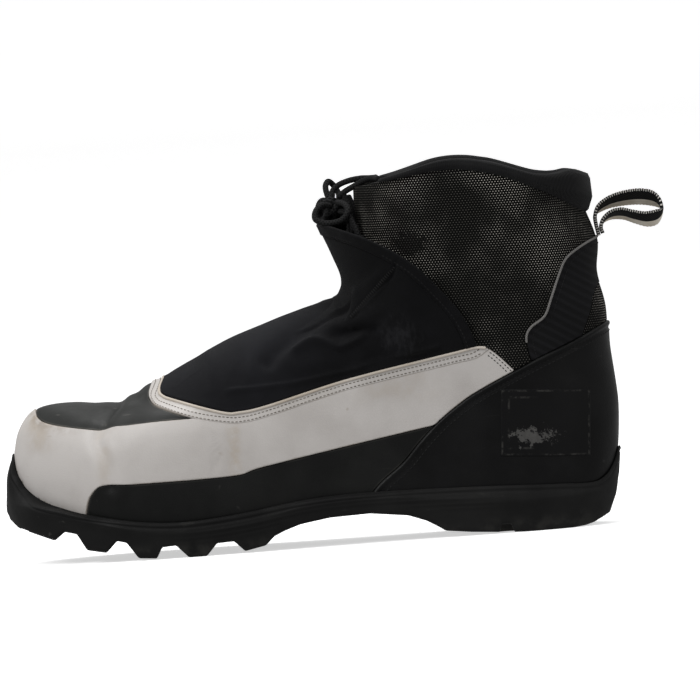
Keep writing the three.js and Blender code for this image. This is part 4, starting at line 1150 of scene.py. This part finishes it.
def lifted(which, offset, reach, names):
    """The net, its seams measured where a piece that stands off the skin lies."""
    columns = dict(which.columns)
    place = on_skin(columns["level"], columns["angle"], offset(columns), reach)
    for name in names:
        columns[name] = signed_distance(SEAM_LINES[name], place[:, 0], place[:, 2])
    return SimpleNamespace(columns=columns, faces=which.faces)


def make_gaiter():
    """The gaiter's cloth and its hem band."""
    raised = lifted(FRONT_NET, lambda d: gaiter_lift(d["x"], d["z"]) + 1.3, GAITER_REACH, ["hem"])
    body = shell(
        "gaiter_cloth", "softshell", SOFTSHELL, raised,
        lambda d: smallest(near(d, "throat", 0.12), near(d, "hem", HEM_WIDTH)), 0, 1.4, gaiter_relief,
        reach=GAITER_REACH, rim=0.6, body=None)
    hem = shell(
        "gaiter_hem", "softshell", SOFTSHELL, raised,
        lambda d: smallest(near(d, "throat", 0.12), near(d, "hem"), HEM_WIDTH + 0.3 - d["hem"]),
        -0.1, 2.1, hem_relief, reach=GAITER_REACH, rim=1.1, body=None)
    for piece in (body, hem):
        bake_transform(piece)
    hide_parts("gaiter_body", "gaiter_gusset")
    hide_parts("gaiter_hem_front", "gaiter_hem_lateral", "gaiter_hem_medial")


# ---------------------------------------------------------------- points on the pieces' surfaces
def surface(line, side, top, relief, reach=1):
    """Points on a piece along a line of the side view, on one side of the boot, and their normals."""
    wanted = np.asarray(line, float)
    aimed = wanted.copy()
    for _ in range(4):
        level, angle = find_on_skin(aimed[:, 0], aimed[:, 1], np.full(len(aimed), side))
        root, normal = skin(level, angle), outward(level, angle, reach)
        data = {"x": root[:, 0], "y": root[:, 1], "z": root[:, 2], "level": level, "angle": angle}
        for name in ("throat", "hem", "counter"):
            data[name] = signed_distance(SEAM_LINES[name], wanted[:, 0], wanted[:, 1])
        data["above_rand"] = wanted[:, 1] - graph(RAND_HEIGHT)(wanted[:, 0])
        place = root + normal * (top + relief(data))[:, None]
        missed = wanted - place[:, (0, 2)]
        aimed = aimed + missed
    on_boot = np.abs(missed).max(1) < 0.5
    return place[on_boot], normal[on_boot]


def shifted(line, distance):
    """A curve's points moved a distance to its left in the side view."""
    run = np.gradient(line, axis=0)
    run /= np.linalg.norm(run, axis=1, keepdims=True)
    return line + np.stack([-run[:, 1], run[:, 0]], -1) * distance


def even(points, spacing, extra=None):
    """Points at even spacing along a polyline in space, with another column set carried along."""
    reached = np.concatenate([[0], np.cumsum(np.linalg.norm(np.diff(points, axis=0), axis=1))])
    at = np.arange(0, reached[-1], spacing)
    both = points if extra is None else np.hstack([points, extra])
    made = np.stack([np.interp(at, reached, column) for column in both.T], -1)
    return made if extra is None else (made[:, :3], made[:, 3:])


def capsule_rings(radius, length):
    """Places along a thread and the radii there."""
    half = length / 2
    near_end, end_size, shoulder_size = half * 0.82, radius * 0.25, radius * 0.85
    return [(-half, end_size), (-near_end, shoulder_size), (0, radius), (near_end, shoulder_size),
            (half, end_size)]


def stitches(name, rows, slot, material, pitch=2.0, length=1.45, radius=0.24, sides=6, across=False,
             body="shoe"):
    """Short threads laid along rows of (points, outward directions), in one mesh."""
    points, faces, cloth = [], [], []
    for row, normals in rows:
        if len(row) < 3:
            continue
        places, normals = even(row, pitch, normals)
        if len(places) < 2:
            continue
        runs = np.gradient(places, axis=0)
        for place, run, normal in zip(places, runs, normals):
            run, normal = run / np.linalg.norm(run), normal / np.linalg.norm(normal)
            aside = np.cross(normal, run)
            if across:
                run, aside = aside, run
            start = len(points)
            for along, size in capsule_rings(radius, length):
                dip = -0.8 * radius * (2 * along / length) ** 2
                for turn in np.arange(sides) * 2 * math.pi / sides:
                    out = normal * (math.sin(turn) * size * 0.8 + dip) + aside * math.cos(turn) * size
                    points.append(place + run * along + out)
                    cloth.append((along, turn / (2 * math.pi), INSIDE_CLOTH))
            for ring in range(4):
                for j in range(sides):
                    a, b = start + ring * sides + j, start + ring * sides + (j + 1) % sides
                    faces.append([a, b, b + sides, a + sides])
            faces.append([start + j for j in range(sides)][::-1])
            faces.append([start + 4 * sides + j for j in range(sides)])
    return link(name, mesh_of(name, points, faces, material, cloth), slot, body)


def tube(name, path, radius, slot, material, sides=14, body="shoe", closed=False, swell=None):
    """A round cord along a path of close points, its ends rounded off."""
    path = np.asarray(path, float)
    runs = np.gradient(path, axis=0)
    if closed:
        runs = np.roll(path, -1, axis=0) - np.roll(path, 1, axis=0)
    runs /= np.linalg.norm(runs, axis=1, keepdims=True)
    side = np.cross(runs[0], (0.3, 0.2, 1))
    rings, along, last = [], 0.0, path[0]
    cloth = []
    for i, (middle, run) in enumerate(zip(path, runs)):
        side = side - run * side.dot(run)
        side /= np.linalg.norm(side)
        up = np.cross(run, side)
        along += float(np.linalg.norm(middle - last))
        last = middle
        size = radius * (swell(i / (len(path) - 1)) if swell else 1)
        turns = np.arange(sides) * 2 * math.pi / sides
        rings.append(middle + size * (np.cos(turns)[:, None] * side + np.sin(turns)[:, None] * up))
        cloth.append([(along, turn / (2 * math.pi), INSIDE_CLOTH) for turn in turns])
    cloth = np.array(cloth)
    if closed:
        quads = ring_quads(len(rings), sides, True)
        mesh = mesh_of(name, np.concatenate(rings), quads, material, cloth.reshape(-1, 3))
        return link(name, mesh, slot, body)
    for end, run in ((0, -runs[0]), (-1, runs[-1])):
        cap = [path[end] + run * radius * 0.6 * k + (rings[end] - path[end]) * math.sqrt(1 - k * k)
               for k in (0.5, 0.85)]
        rings = cap[::-1] + rings if end == 0 else rings + cap
        edge = cloth[end][None]
        cloth = np.concatenate([edge, edge, cloth] if end == 0 else [cloth, edge, edge])
    return link(name, loft_mesh(name, rings, material, cloth), slot, body)


# ---------------------------------------------------------------- seams: stitching, piping, blank patches
def rows_on(seam, shifts, top, relief, part=(0, 1), reach=1):
    """Rows of points beside a seam, on both sides of the boot, over a part of the seam's length."""
    points = SEAMS[seam] if isinstance(seam, str) else seam
    count = 700
    line = Curve(points).spaced(count)
    keep = slice(int(part[0] * count), int(part[1] * count))
    return [surface(shifted(line, shift)[keep], side, top, relief, reach)
            for shift in shifts for side in (-1, 1)]


def make_seams():
    """Stitching along the seams, the piping cords and the raw edge of the throat binding."""
    throat_rows = rows_on("binding", (1.2, 3.3), 1.22, wear, (0, 0.935))
    stitches("throat_stitches", throat_rows, "white_leather", THREAD_DARK, 2.0, 1.3, 0.22)
    wing_rows = rows_on("throat", (-1.3, -3.1), 0.86, wear, (0.9, 0.965))
    stitches("wing_stitches", wing_rows, "white_leather", THREAD_BLACK, 1.9, 1.3, 0.26)
    counter_rows = rows_on("counter", (-3.1, -5.0), 1.2, counter_wear)
    stitches("counter_stitches", counter_rows, "black_leather", THREAD_BLACK, 2.3, 1.7, 0.3)
    achilles_rows = rows_on("achilles", (3.2,), 0.55, wear)
    stitches("achilles_stitches", achilles_rows, "softshell", THREAD_BLACK, 1.6, 1.2, 0.26)
    hem_rows = rows_on("hem", (4.3,), 2.0, hem_relief, (0.12, 1), GAITER_REACH)
    gusset_rows = rows_on(GUSSET_LINE, (0,), 1.45, gaiter_relief, reach=GAITER_REACH)
    pieces = [
        stitches("hem_stitches", hem_rows, "softshell", THREAD_BLACK, 2.2, 1.6, 0.28, body=None),
        stitches("gusset_stitches", gusset_rows, "softshell", THREAD_BLACK, 1.25, 2.2, 0.3,
                 across=True, body=None),
    ]
    for piece in pieces:
        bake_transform(piece)
    for name, side in (("lateral", -1), ("medial", 1)):
        line = Curve(SEAMS["achilles"]).at(np.linspace(0.13, 0.86, 260))
        path, _ = surface(line, side, 0.6, wear)
        cord = tube(f"piping_cord_{name}", even(path, 1.0), 0.6, "piping", PIPING, 12)
        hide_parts(f"piping_{name}")
    near_side, far_side = rows_on("throat", (-0.35,), 1.25, wear, (0, 0.885))
    edge = np.concatenate([near_side[0][::-1], far_side[0]])
    tube("throat_edge", even(edge, 0.8), 0.75, "white_leather", EDGE, 10)


def patch(name, corners, top, slot, material, columns, rows):
    """A thin sheet laid on the outer side of the boot between four corners of the side view."""
    (ax, az), (bx, bz), (cx, cz), (dx, dz) = corners
    t, u = np.meshgrid(np.linspace(0, 1, columns), np.linspace(0, 1, rows))
    x = mix(mix(dx, cx, t), mix(ax, bx, t), u).ravel()
    z = mix(mix(dz, cz, t), mix(az, bz, t), u).ravel()
    line = np.stack([x, z], -1)
    outer, inner = surface(line, -1, top, wear)[0], surface(line, -1, top - 0.5, wear)[0]
    index = np.arange(columns * rows).reshape(rows, columns)
    quads = np.stack([index[:-1, :-1], index[:-1, 1:], index[1:, 1:], index[1:, :-1]], -1).reshape(-1, 4)
    back = (quads + columns * rows)[:, ::-1]
    rim = np.concatenate([index[0], index[1:, -1], index[-1, -2::-1], index[-2:0:-1, 0]])
    walls = [[b, a, a + columns * rows, b + columns * rows] for a, b in zip(rim, np.roll(rim, -1))]
    across, up = x - x.min(), z - z.min()
    width, height = math.dist(corners[0], corners[1]), math.dist(corners[1], corners[2])
    edge = np.minimum(np.minimum(t, 1 - t).ravel() * width, np.minimum(u, 1 - u).ravel() * height)
    cloth = np.tile(np.stack([across, up, edge], -1), (2, 1))
    faces = quads.tolist() + back.tolist() + walls
    return link(name, mesh_of(name, np.concatenate([outer, inner]), faces, material, cloth), slot)


def make_patches():
    label_corners = [(81.2, 71.8), (126.1, 68.5), (123.7, 35.1), (78.8, 38.4)]
    patch("heel_label", label_corners, 1.27, "black_leather", LABEL, 60, 46)


# ---------------------------------------------------------------- sole
GUIDE_FLOOR = [
    (-141, 22), (-130, 11), (-104, 5), (-60, 4.2), (-40, 8), (-30, 10.5), (-20, 12.5), (30, 11), (46, 7),
    (52, 4.2), (124, 4.2),
]
GUIDE_MIDDLES = (-11, 15)
GUIDE_HALF_WIDTH = 4
TOE_POCKET = {"front": -162.2, "back": -145.4, "middle": 4, "half_width": 18, "roof": 24.6}
LIP_OUT = 2.3
HEEL_NOTCH, NOTCH_INSIDE = (75, 84), 22
PANEL_TOP = [(-132, 0.9), (-127, 0.4), (8, 0.4), (15, 1.35)]
WALL_ROWS = np.concatenate([
    [0, 0.02, 0.05, 0.09], np.linspace(0.14, 0.86, 26), [0.9, 0.93, 0.955, 0.975, 0.99, 1]])


def tread_height(x):
    """The tread line's height, its corners softened a little."""
    xs, zs = np.array(TREAD_LINE, float).T
    return sum(np.interp(x + shift, xs, zs) for shift in (-0.4, 0, 0.4)) / 3


def underside(x, y):
    """Height of the sole's underside: lugs, two guide grooves and the pocket of the toe plate."""
    z = tread_height(x)
    floor = np.interp(x, *np.array(GUIDE_FLOOR, float).T)
    for middle in GUIDE_MIDDLES:
        inside = smooth(GUIDE_HALF_WIDTH + 0.5, GUIDE_HALF_WIDTH - 0.6, np.abs(y - middle))
        inside = inside * ((x > GUIDE_FLOOR[0][0]) & (x < GUIDE_FLOOR[-1][0]))
        z = np.maximum(z, mix(z, floor, inside))
    in_notch = (x > HEEL_NOTCH[0]) & (x < HEEL_NOTCH[1]) & (np.abs(y) < NOTCH_INSIDE)
    z = np.where(in_notch, np.minimum(z, 0.3), z)
    p = TOE_POCKET
    pocket = (x > p["front"]) & (x < p["back"]) & (np.abs(y - p["middle"]) < p["half_width"])
    return np.where(pocket, p["roof"], z)


def make_sole():
    """The sole unit: rings from the tread's edge up the wall to the rand's lip, and on inside it."""
    dense = np.linspace(0, math.pi, 3000)
    plan = skin(np.zeros_like(dense), dense)[:, :2]
    reached = np.concatenate([[0], np.cumsum(np.linalg.norm(np.diff(plan, axis=0), axis=1))])
    half = np.interp(np.linspace(0, reached[-1], 560), reached, dense)
    angles = np.concatenate([half, -half[-2:0:-1]])
    foot = skin(np.zeros(len(angles)), angles)
    out = outward(np.full(len(angles), 0.03), angles) * (1, 1, 0)
    out /= np.linalg.norm(out, axis=1, keepdims=True)
    bulge = graph(SOLE_BULGE)(foot[:, 0])
    rand = graph(RAND_HEIGHT)

    def below_rand(level):
        place = skin(level, angles)
        return place[:, 2] < rand(place[:, 0])

    level = bisect(np.zeros(len(angles)), np.full(len(angles), 0.5), below_rand, 24)
    lip_out = mix(LIP_OUT, 1.1, smooth(46, 58, skin(level, angles)[:, 2]))
    lip = on_skin(level, angles, lip_out)
    toe = smooth(-135, -152, foot[:, 0])
    shares = [np.full(len(angles), 0.35), mix(0.7, 0.93, toe), np.ones(len(angles))]
    down = [foot + out * (bulge * share)[:, None] for share in shares]
    down[0][:, 2] = -2
    down[1][:, 2] = foot[:, 2] - mix(4, 8, toe)
    down[2][:, 2] = foot[:, 2] + 1.5
    knots = np.stack([down[0], down[0], down[1], down[2], lip, lip], 1)

    def wall(s):
        span = np.clip(np.floor(s).astype(int), 0, 2)
        t = (s - span)[:, None]
        rows = np.arange(len(angles))
        a, b, c, d = [knots[rows, span + k] for k in range(4)]
        return mix(mix(b, c, t), between_knots(a, b, c, d, t), 0.7)

    def below_tread(s):
        place = wall(s)
        return place[:, 2] < tread_height(place[:, 0])

    bottom = bisect(np.zeros(len(angles)), np.full(len(angles), 2.6), below_tread, 24)
    rings = []
    for row in WALL_ROWS:
        place = wall(mix(bottom, 3, row))
        x, z = place[:, 0], place[:, 2]
        under_lip = lip[:, 2] - z
        above = z - tread_height(x)
        arch = smooth(-105, -60, x) * smooth(90, 55, x)
        relief = -0.5 * bell(under_lip, 2.4, 0.55) + 0.25 * smooth(2, 0.9, under_lip)
        for depth in (5.4, 8.0, 10.2):
            relief += arch * 0.32 * bell(under_lip, depth, 0.7)
        relief += 1.5 * bell(z, 45, 8.5) * smooth(-150, -161, x)
        relief -= 0.9 * smooth(0.9, 0, above) ** 2
        relief -= 0.35 * smooth(1.2, 0, under_lip) ** 2
        rings.append(place + out * relief[:, None])
    inner_off = graph(PANEL_TOP)(lip[:, 0])
    for share, rise in ((0.55, 0.3), (0.2, 0.12)):
        rings.append(on_skin(level, angles, mix(inner_off, lip_out, share)) + (0, 0, rise))
    for share in (1, 0.75, 0.5, 0.25, 0):
        rings.append(on_skin(level * share, angles, inner_off))
    floor_z = foot[:, 2] - 2.7 - 1.75 * smooth(-64, -60, foot[:, 0]) * smooth(99, 96, foot[:, 0])
    rings.append(np.concatenate([rings[-1][:, :2], floor_z[:, None]], 1))
    index = np.arange(len(rings) * len(angles)).reshape(len(rings), -1)
    faces = ring_quads(*index.shape)
    points = np.concatenate(rings)
    for ring, turned, height in ((0, True, underside), (len(rings) - 1, False, None)):
        made, extra = across_faces(index[ring], rings[ring], len(points), height, turned)
        faces += made
        points = np.concatenate([points, extra])
    cloth = np.zeros((len(points), 3)) + (0, 0, INSIDE_CLOTH)
    piece = link("sole_unit", mesh_of("sole_unit", points, faces, RUBBER, cloth), "sole_rubber")
    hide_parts("outsole")


def across_faces(ring, places, start, height, turned, columns=90):
    """Strips of faces from a ring's first half across to its second half, at given heights."""
    count = len(ring)
    last = count // 2
    t = np.linspace(0, 1, columns + 1)[1:-1, None]
    grid, extra = [], []
    for i in range(1, last):
        a, b = places[i], places[count - i]
        line = mix(a, b, t)
        if height is not None:
            line[:, 2] = height(line[:, 0], line[:, 1])
        grid.append([ring[i], *range(start + len(extra), start + len(extra) + columns - 1), ring[count - i]])
        extra.extend(line)
    faces = []
    for near_row, far_row in zip(grid, grid[1:]):
        for j in range(columns):
            face = [near_row[j], near_row[j + 1], far_row[j + 1], far_row[j]]
            faces.append(face if turned else face[::-1])
    for row, tip, flip in ((grid[0], ring[0], True), (grid[-1], ring[last], False)):
        for j in range(columns):
            face = [tip, row[j], row[j + 1]]
            faces.append(face if flip != turned else face[::-1])
    return faces, np.array(extra)


# ---------------------------------------------------------------- pull loop
WEBBING_SIZE = {"width": 12.5, "thickness": 1.9, "twist": 0.68}


def make_pull_loop():
    """A loop of flat webbing with picots along its edges, turned a little about its own line."""
    line = Curve(PULL_LOOP)
    count, across = 190, 44
    width, thick, twist = WEBBING_SIZE["width"], WEBBING_SIZE["thickness"], WEBBING_SIZE["twist"]
    turns = np.arange(across) * 2 * math.pi / across
    level, upright = np.cos(turns), np.sin(turns)
    flat = np.sign(level) * np.abs(level) ** 0.35, np.sign(upright) * np.abs(upright) ** 0.6
    rings, cloth = [], []
    for i in range(count):
        share = i / (count - 1)
        p, q = line.at(share), line.at(min(share + 0.002, 1))
        before = line.at(max(share - 0.002, 0))
        run = (q - before) / np.linalg.norm(q - before)
        turn = twist * math.sin(math.pi * share) ** 0.7
        picot = 0.28 * math.sin(2 * math.pi * share * line.length / 1.7)
        ring, row = [], []
        for a, t in zip(*flat):
            y = a * (width / 2 + (picot if abs(a) > 0.9 else 0))
            n = t * thick / 2
            lean = y * math.sin(turn)
            ring.append((p[0] - run[1] * n, y * math.cos(turn), p[1] + run[0] * n - lean * abs(run[0])))
            row.append((share * line.length, y, INSIDE_CLOTH))
        rings.append(ring)
        cloth.append(row)
    piece = link("pull_webbing", loft_mesh("pull_webbing", rings, WEBBING, np.array(cloth)), "webbing", None)
    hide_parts("pull_loop")
    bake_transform(piece)


# ---------------------------------------------------------------- lacing
# The levels of the five rows of loops.
LACE_ROWS = [0.56, 0.65, 0.74, 0.83, 0.905]
LACE_ASIDE, LACE_LIFT, LOOP_RING = 18, 3.9, 2.6
LACE_RADIUS = 1.5
LACE_END = [(11, 13.5, 164.4), (8, 7.6, 165)]
TIED = {
    "lace_bow_lateral": [
        (3, -7.4, 168.4), (-1, -10.5, 169), (-4.3, -13.5, 166), (-4.6, -15.5, 162.4), (-1, -16.8, 160.4),
        (4, -17.5, 160), (9, -17.8, 161.4), (12, -17.5, 165.2), (10.6, -14, 168.6), (6.6, -8.2, 169.9),
    ],
    "lace_bow_medial": [
        (3.6, 7.4, 169.6), (2, 9.4, 174), (1.6, 12, 178), (3.2, 15, 180), (5.8, 16.5, 177.5),
        (8.2, 14.6, 172.5), (8.2, 8.6, 168.9),
    ],
    "lace_tail_lateral": [
        (7.6, -3.4, 172.2), (11, -4.5, 174.8), (16, -5.5, 177.3), (20.5, -7, 179.5), (24.2, -9.6, 180.6),
        (26.4, -13.2, 180.6), (28.2, -19.6, 180.4),
    ],
    "lace_tail_medial": [
        (4.6, 2.4, 172.8), (4.8, 3.4, 175), (7.6, 4.2, 177.8), (13, 4.8, 179.8), (19, 5.6, 180.6),
        (23.4, 8, 180.4), (25.6, 12, 180.3), (27, 16.6, 180.3),
    ],
}
KNOT_MIDDLE = np.array([4.2, 0, 165.8])


def centripetal(points, per_span=14):
    """A smooth curve through points that doesn't overshoot where they are unevenly spaced."""
    p = np.array(points, float)
    p = np.vstack([2 * p[0] - p[1], p, 2 * p[-1] - p[-2]])
    gaps = np.sqrt(np.linalg.norm(np.diff(p, axis=0), axis=1))
    t = np.linspace(0, 1, per_span, endpoint=False)[:, None]
    made = []
    for i in range(1, len(p) - 2):
        a, b, c, d = p[i - 1:i + 3]
        g0, g1, g2 = gaps[i - 1:i + 2]
        m1 = ((b - a) / g0 - (c - a) / (g0 + g1) + (c - b) / g1) * g1
        m2 = ((c - b) / g1 - (d - b) / (g1 + g2) + (d - c) / g2) * g1
        made.append(b + m1 * t + (-3 * b + 3 * c - 2 * m1 - m2) * t**2 + (2 * b - 2 * c + m1 + m2) * t**3)
    return np.vstack(made + [p[-2:-1]])


def lace_at(row, side, lift=LACE_LIFT, shift=0.0):
    """The middle of a lace loop, or a place beside it."""
    return beside_front_line(LACE_ROWS[row] + shift, side * LACE_ASIDE, lift)


def slit_direction(row, side):
    """The direction up the row of loops, along the stay."""
    run = lace_at(row, side, shift=0.01) - lace_at(row, side, shift=-0.01)
    return run / np.linalg.norm(run)


def lace_path():
    """The lace's way from the knot down through the loops, across, and up again to the knot."""
    top = len(LACE_ROWS) - 1

    def through(row, side):
        return [lace_at(row, side) + slit_direction(row, side) * step for step in (-2.4, 2.4)]

    def passes(start_side, above):
        made = []
        for row in range(top + 1):
            made += through(row, start_side * (-1 if row % 2 else 1))
            if row < top:
                level = (LACE_ROWS[row] + LACE_ROWS[row + 1]) / 2
                made.append(on_skin(np.float64(level), np.float64(0), LACE_LIFT + (1 if above else -3.5)))
        return made

    def to_knot(side):
        return [np.array([x, side * y, z]) for x, y, z in LACE_END]

    bar = [beside_front_line(LACE_ROWS[0] - 0.035, aside, LACE_LIFT - 0.5) for aside in (-10, 0, 10)]
    return (passes(-1, True) + to_knot(-1))[::-1] + bar + passes(1, False) + to_knot(1)


def make_cords():
    """The lace's four free ends, each a limp cord."""
    for name, points in TIED.items():
        path = even(centripetal(points, 30), 0.8)
        cord = tube(name + "_cord", path, LACE_RADIUS, "lace_braid", LACE)
        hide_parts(name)


def make_lacing():
    """The laced cord with its knot, and the loops that hold it."""
    lace = tube("lace_run", even(centripetal(lace_path()), 1.0), LACE_RADIUS * 0.96, "lace_braid", LACE)
    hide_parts("lace")
    turns = np.linspace(0, 2 * math.pi, 90, endpoint=False)
    for name, shift, roll in (("knot_front", -2.3, 0.4), ("knot_back", 2.3, 1.4)):
        across = (np.sin(turns + roll) + 2 * np.sin(2 * turns)) * 1.9
        up = (np.cos(turns + roll) - 2 * np.cos(2 * turns)) * 1.8
        path = KNOT_MIDDLE + np.stack([across, shift - 1.6 * np.sin(3 * turns), up], -1)
        piece = tube(name, path, LACE_RADIUS * 1.1, "lace_braid", LACE, closed=True)
        if name == "knot_front":
            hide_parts("lace_knot")
    for name, middle, size, lean in (
            ("knot_wrap_outer", (8.9, -4.6, 164.4), (4.0, 5.2), 0.35),
            ("knot_wrap_inner", (9.4, 4.6, 165.4), (3.6, 5.6), -0.3),
            ("knot_wrap_low", (5.0, -5.4, 162.4), (4.6, 2.9), 0.1),
            ("knot_wrap_near", (-0.4, -1.0, 166.4), (2.6, 4.6), 0.2),
            ("knot_wrap_base", (8.2, 1.5, 158.8), (4.6, 2.2), 0.0)):
        across, up = size[0] * np.cos(turns), size[1] * np.sin(turns)
        path = np.array(middle) + np.stack([across, 1.4 * np.sin(2 * turns), up + lean * across], -1)
        tube(name, path, LACE_RADIUS * 1.05, "lace_braid", LACE, closed=True)
    for k in range(12):
        x, y = 12.8 + 2.2 * math.sin(2.1 * k), 1.5 * (k - 5.5)
        path = [
            (x - 2, 0.5 * y, 172.5 - 0.3 * k), (x - 0.2, 0.8 * y, 167), (x + 0.9, y, 160),
            (x + 1, 1.1 * y, 154)]
        tube(f"lace_gather_{k + 1}", even(centripetal(path), 0.8), LACE_RADIUS, "lace_braid", LACE)
    for row in range(len(LACE_ROWS)):
        for name, side in (("lateral", -1), ("medial", 1)):
            make_lace_loop(row, side, f"lace_loop_{name}_{row + 1}")


def make_lace_loop(row, side, node):
    """A ring of narrow webbing whose lower half is sewn under the stay."""
    middle, along = lace_at(row, side), slit_direction(row, side)
    up = lace_at(row, side, LACE_LIFT + 1) - middle
    up /= np.linalg.norm(up)
    aside = np.cross(up, along)
    turns = np.linspace(0, 2 * math.pi, 40, endpoint=False)
    rolls = np.linspace(0, 2 * math.pi, 14, endpoint=False)
    half_width, half_thickness = 1.5, 0.4
    points, cloth = [], []
    for turn in turns:
        out = up * math.cos(turn) + aside * math.sin(turn)
        for roll in rolls:
            across = half_width * math.sin(roll)
            reach = LOOP_RING + 0.05 + half_thickness * math.cos(roll)
            points.append(middle + out * reach + along * across)
            cloth.append((turn * LOOP_RING, across, INSIDE_CLOTH))
    faces = ring_quads(len(turns), len(rolls), True)
    name = node.replace("lace_loop", "loop_ring")
    piece = link(name, mesh_of(name, points, faces, KNIT, cloth), "webbing_black")
    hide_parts(node)


# ---------------------------------------------------------------- what keeps its CAD shape
CAD_LOOKS = {
    "lasting_board": BOARD, "shank_board": PLASTIC, "insole": FELT, "toe_plate": PLASTIC,
    "binding_bar": STEEL, "toe_puff": PUFF, "heel_stiffener": PUFF,
}


def dress_nodes():
    for node, material in CAD_LOOKS.items():
        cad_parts[node].material_slots[0].material = material


# ---------------------------------------------------------------- studio
BACKDROP_GLOW = 0.57
BACKDROP_PROFILE = [(0, 0), (2, 0), (5, 0), (9.75, 0), (9.84, 0.1), (9.89, 0.6), (9.9, 3), (9.9, 6)]
BACKDROP_SIDES = 48
WORLD_STRENGTH = 0.5
# Each lamp's name, place, size and power.
LAMPS = [
    ("key", (-1.3, -1.1, 1.5), 1.0, 24),
    ("fill", (1.4, -1.3, 0.6), 1.4, 4),
    ("top", (0.0, 0.3, 1.9), 1.4, 20),
]


def make_studio():
    """A round pale floor that curves up into a wall all round, farther out than the camera."""
    turns = np.arange(BACKDROP_SIDES) * 2 * math.pi / BACKDROP_SIDES
    points = [(0, 0, 0)]
    points += [(r * math.cos(t), r * math.sin(t), z) for r, z in BACKDROP_PROFILE[1:] for t in turns]
    ring = np.arange(BACKDROP_SIDES)
    after = np.roll(ring, -1)
    faces = [(0, 1 + a, 1 + b) for a, b in zip(ring, after)]
    for k in range(len(BACKDROP_PROFILE) - 2):
        low, high = 1 + k * BACKDROP_SIDES, 1 + (k + 1) * BACKDROP_SIDES
        faces += [(low + a, high + a, high + b, low + b) for a, b in zip(ring, after)]
    mesh = bpy.data.meshes.new("backdrop")
    mesh.from_pydata(points, [], [list(map(int, face)) for face in faces])
    s = Surface("paper", 0.95, Specular_IOR_Level=0.1, Emission_Strength=BACKDROP_GLOW)
    s.shader.inputs["Emission Color"].default_value = (1, 1, 1, 1)
    tone = s.colours(s.noise(2, 2), (0.86, 0.86, 0.86), (0.88, 0.88, 0.88))
    mesh.materials.append(s.finish(tone))
    backdrop = bpy.data.objects.new("backdrop", mesh)
    bpy.context.scene.collection.objects.link(backdrop)
    mesh.polygons.foreach_set("use_smooth", [True] * len(mesh.polygons))
    backdrop.visible_diffuse = False
    backdrop.visible_glossy = False
    world = bpy.data.worlds.new("studio")
    bpy.context.scene.world = world
    world.use_nodes = True
    world.node_tree.nodes["Background"].inputs[0].default_value = (1, 1, 1, 1)
    world.node_tree.nodes["Background"].inputs[1].default_value = WORLD_STRENGTH
    for name, place, size, power in LAMPS:
        data = bpy.data.lights.new(name, "AREA")
        data.size, data.energy = size, power
        lamp = bpy.data.objects.new(name, data)
        lamp.location = place
        lamp.rotation_euler = (Vector((0, 0, 0.09)) - Vector(place)).to_track_quat("-Z", "Y").to_euler()
        bpy.context.scene.collection.objects.link(lamp)
    bpy.context.scene.view_settings.view_transform = "Standard"


make_cords()
make_panels()
make_lining()
make_tongue()
make_collar()
make_gaiter()
make_seams()
make_patches()
make_sole()
make_pull_loop()
make_lacing()
dress_nodes()
make_studio()
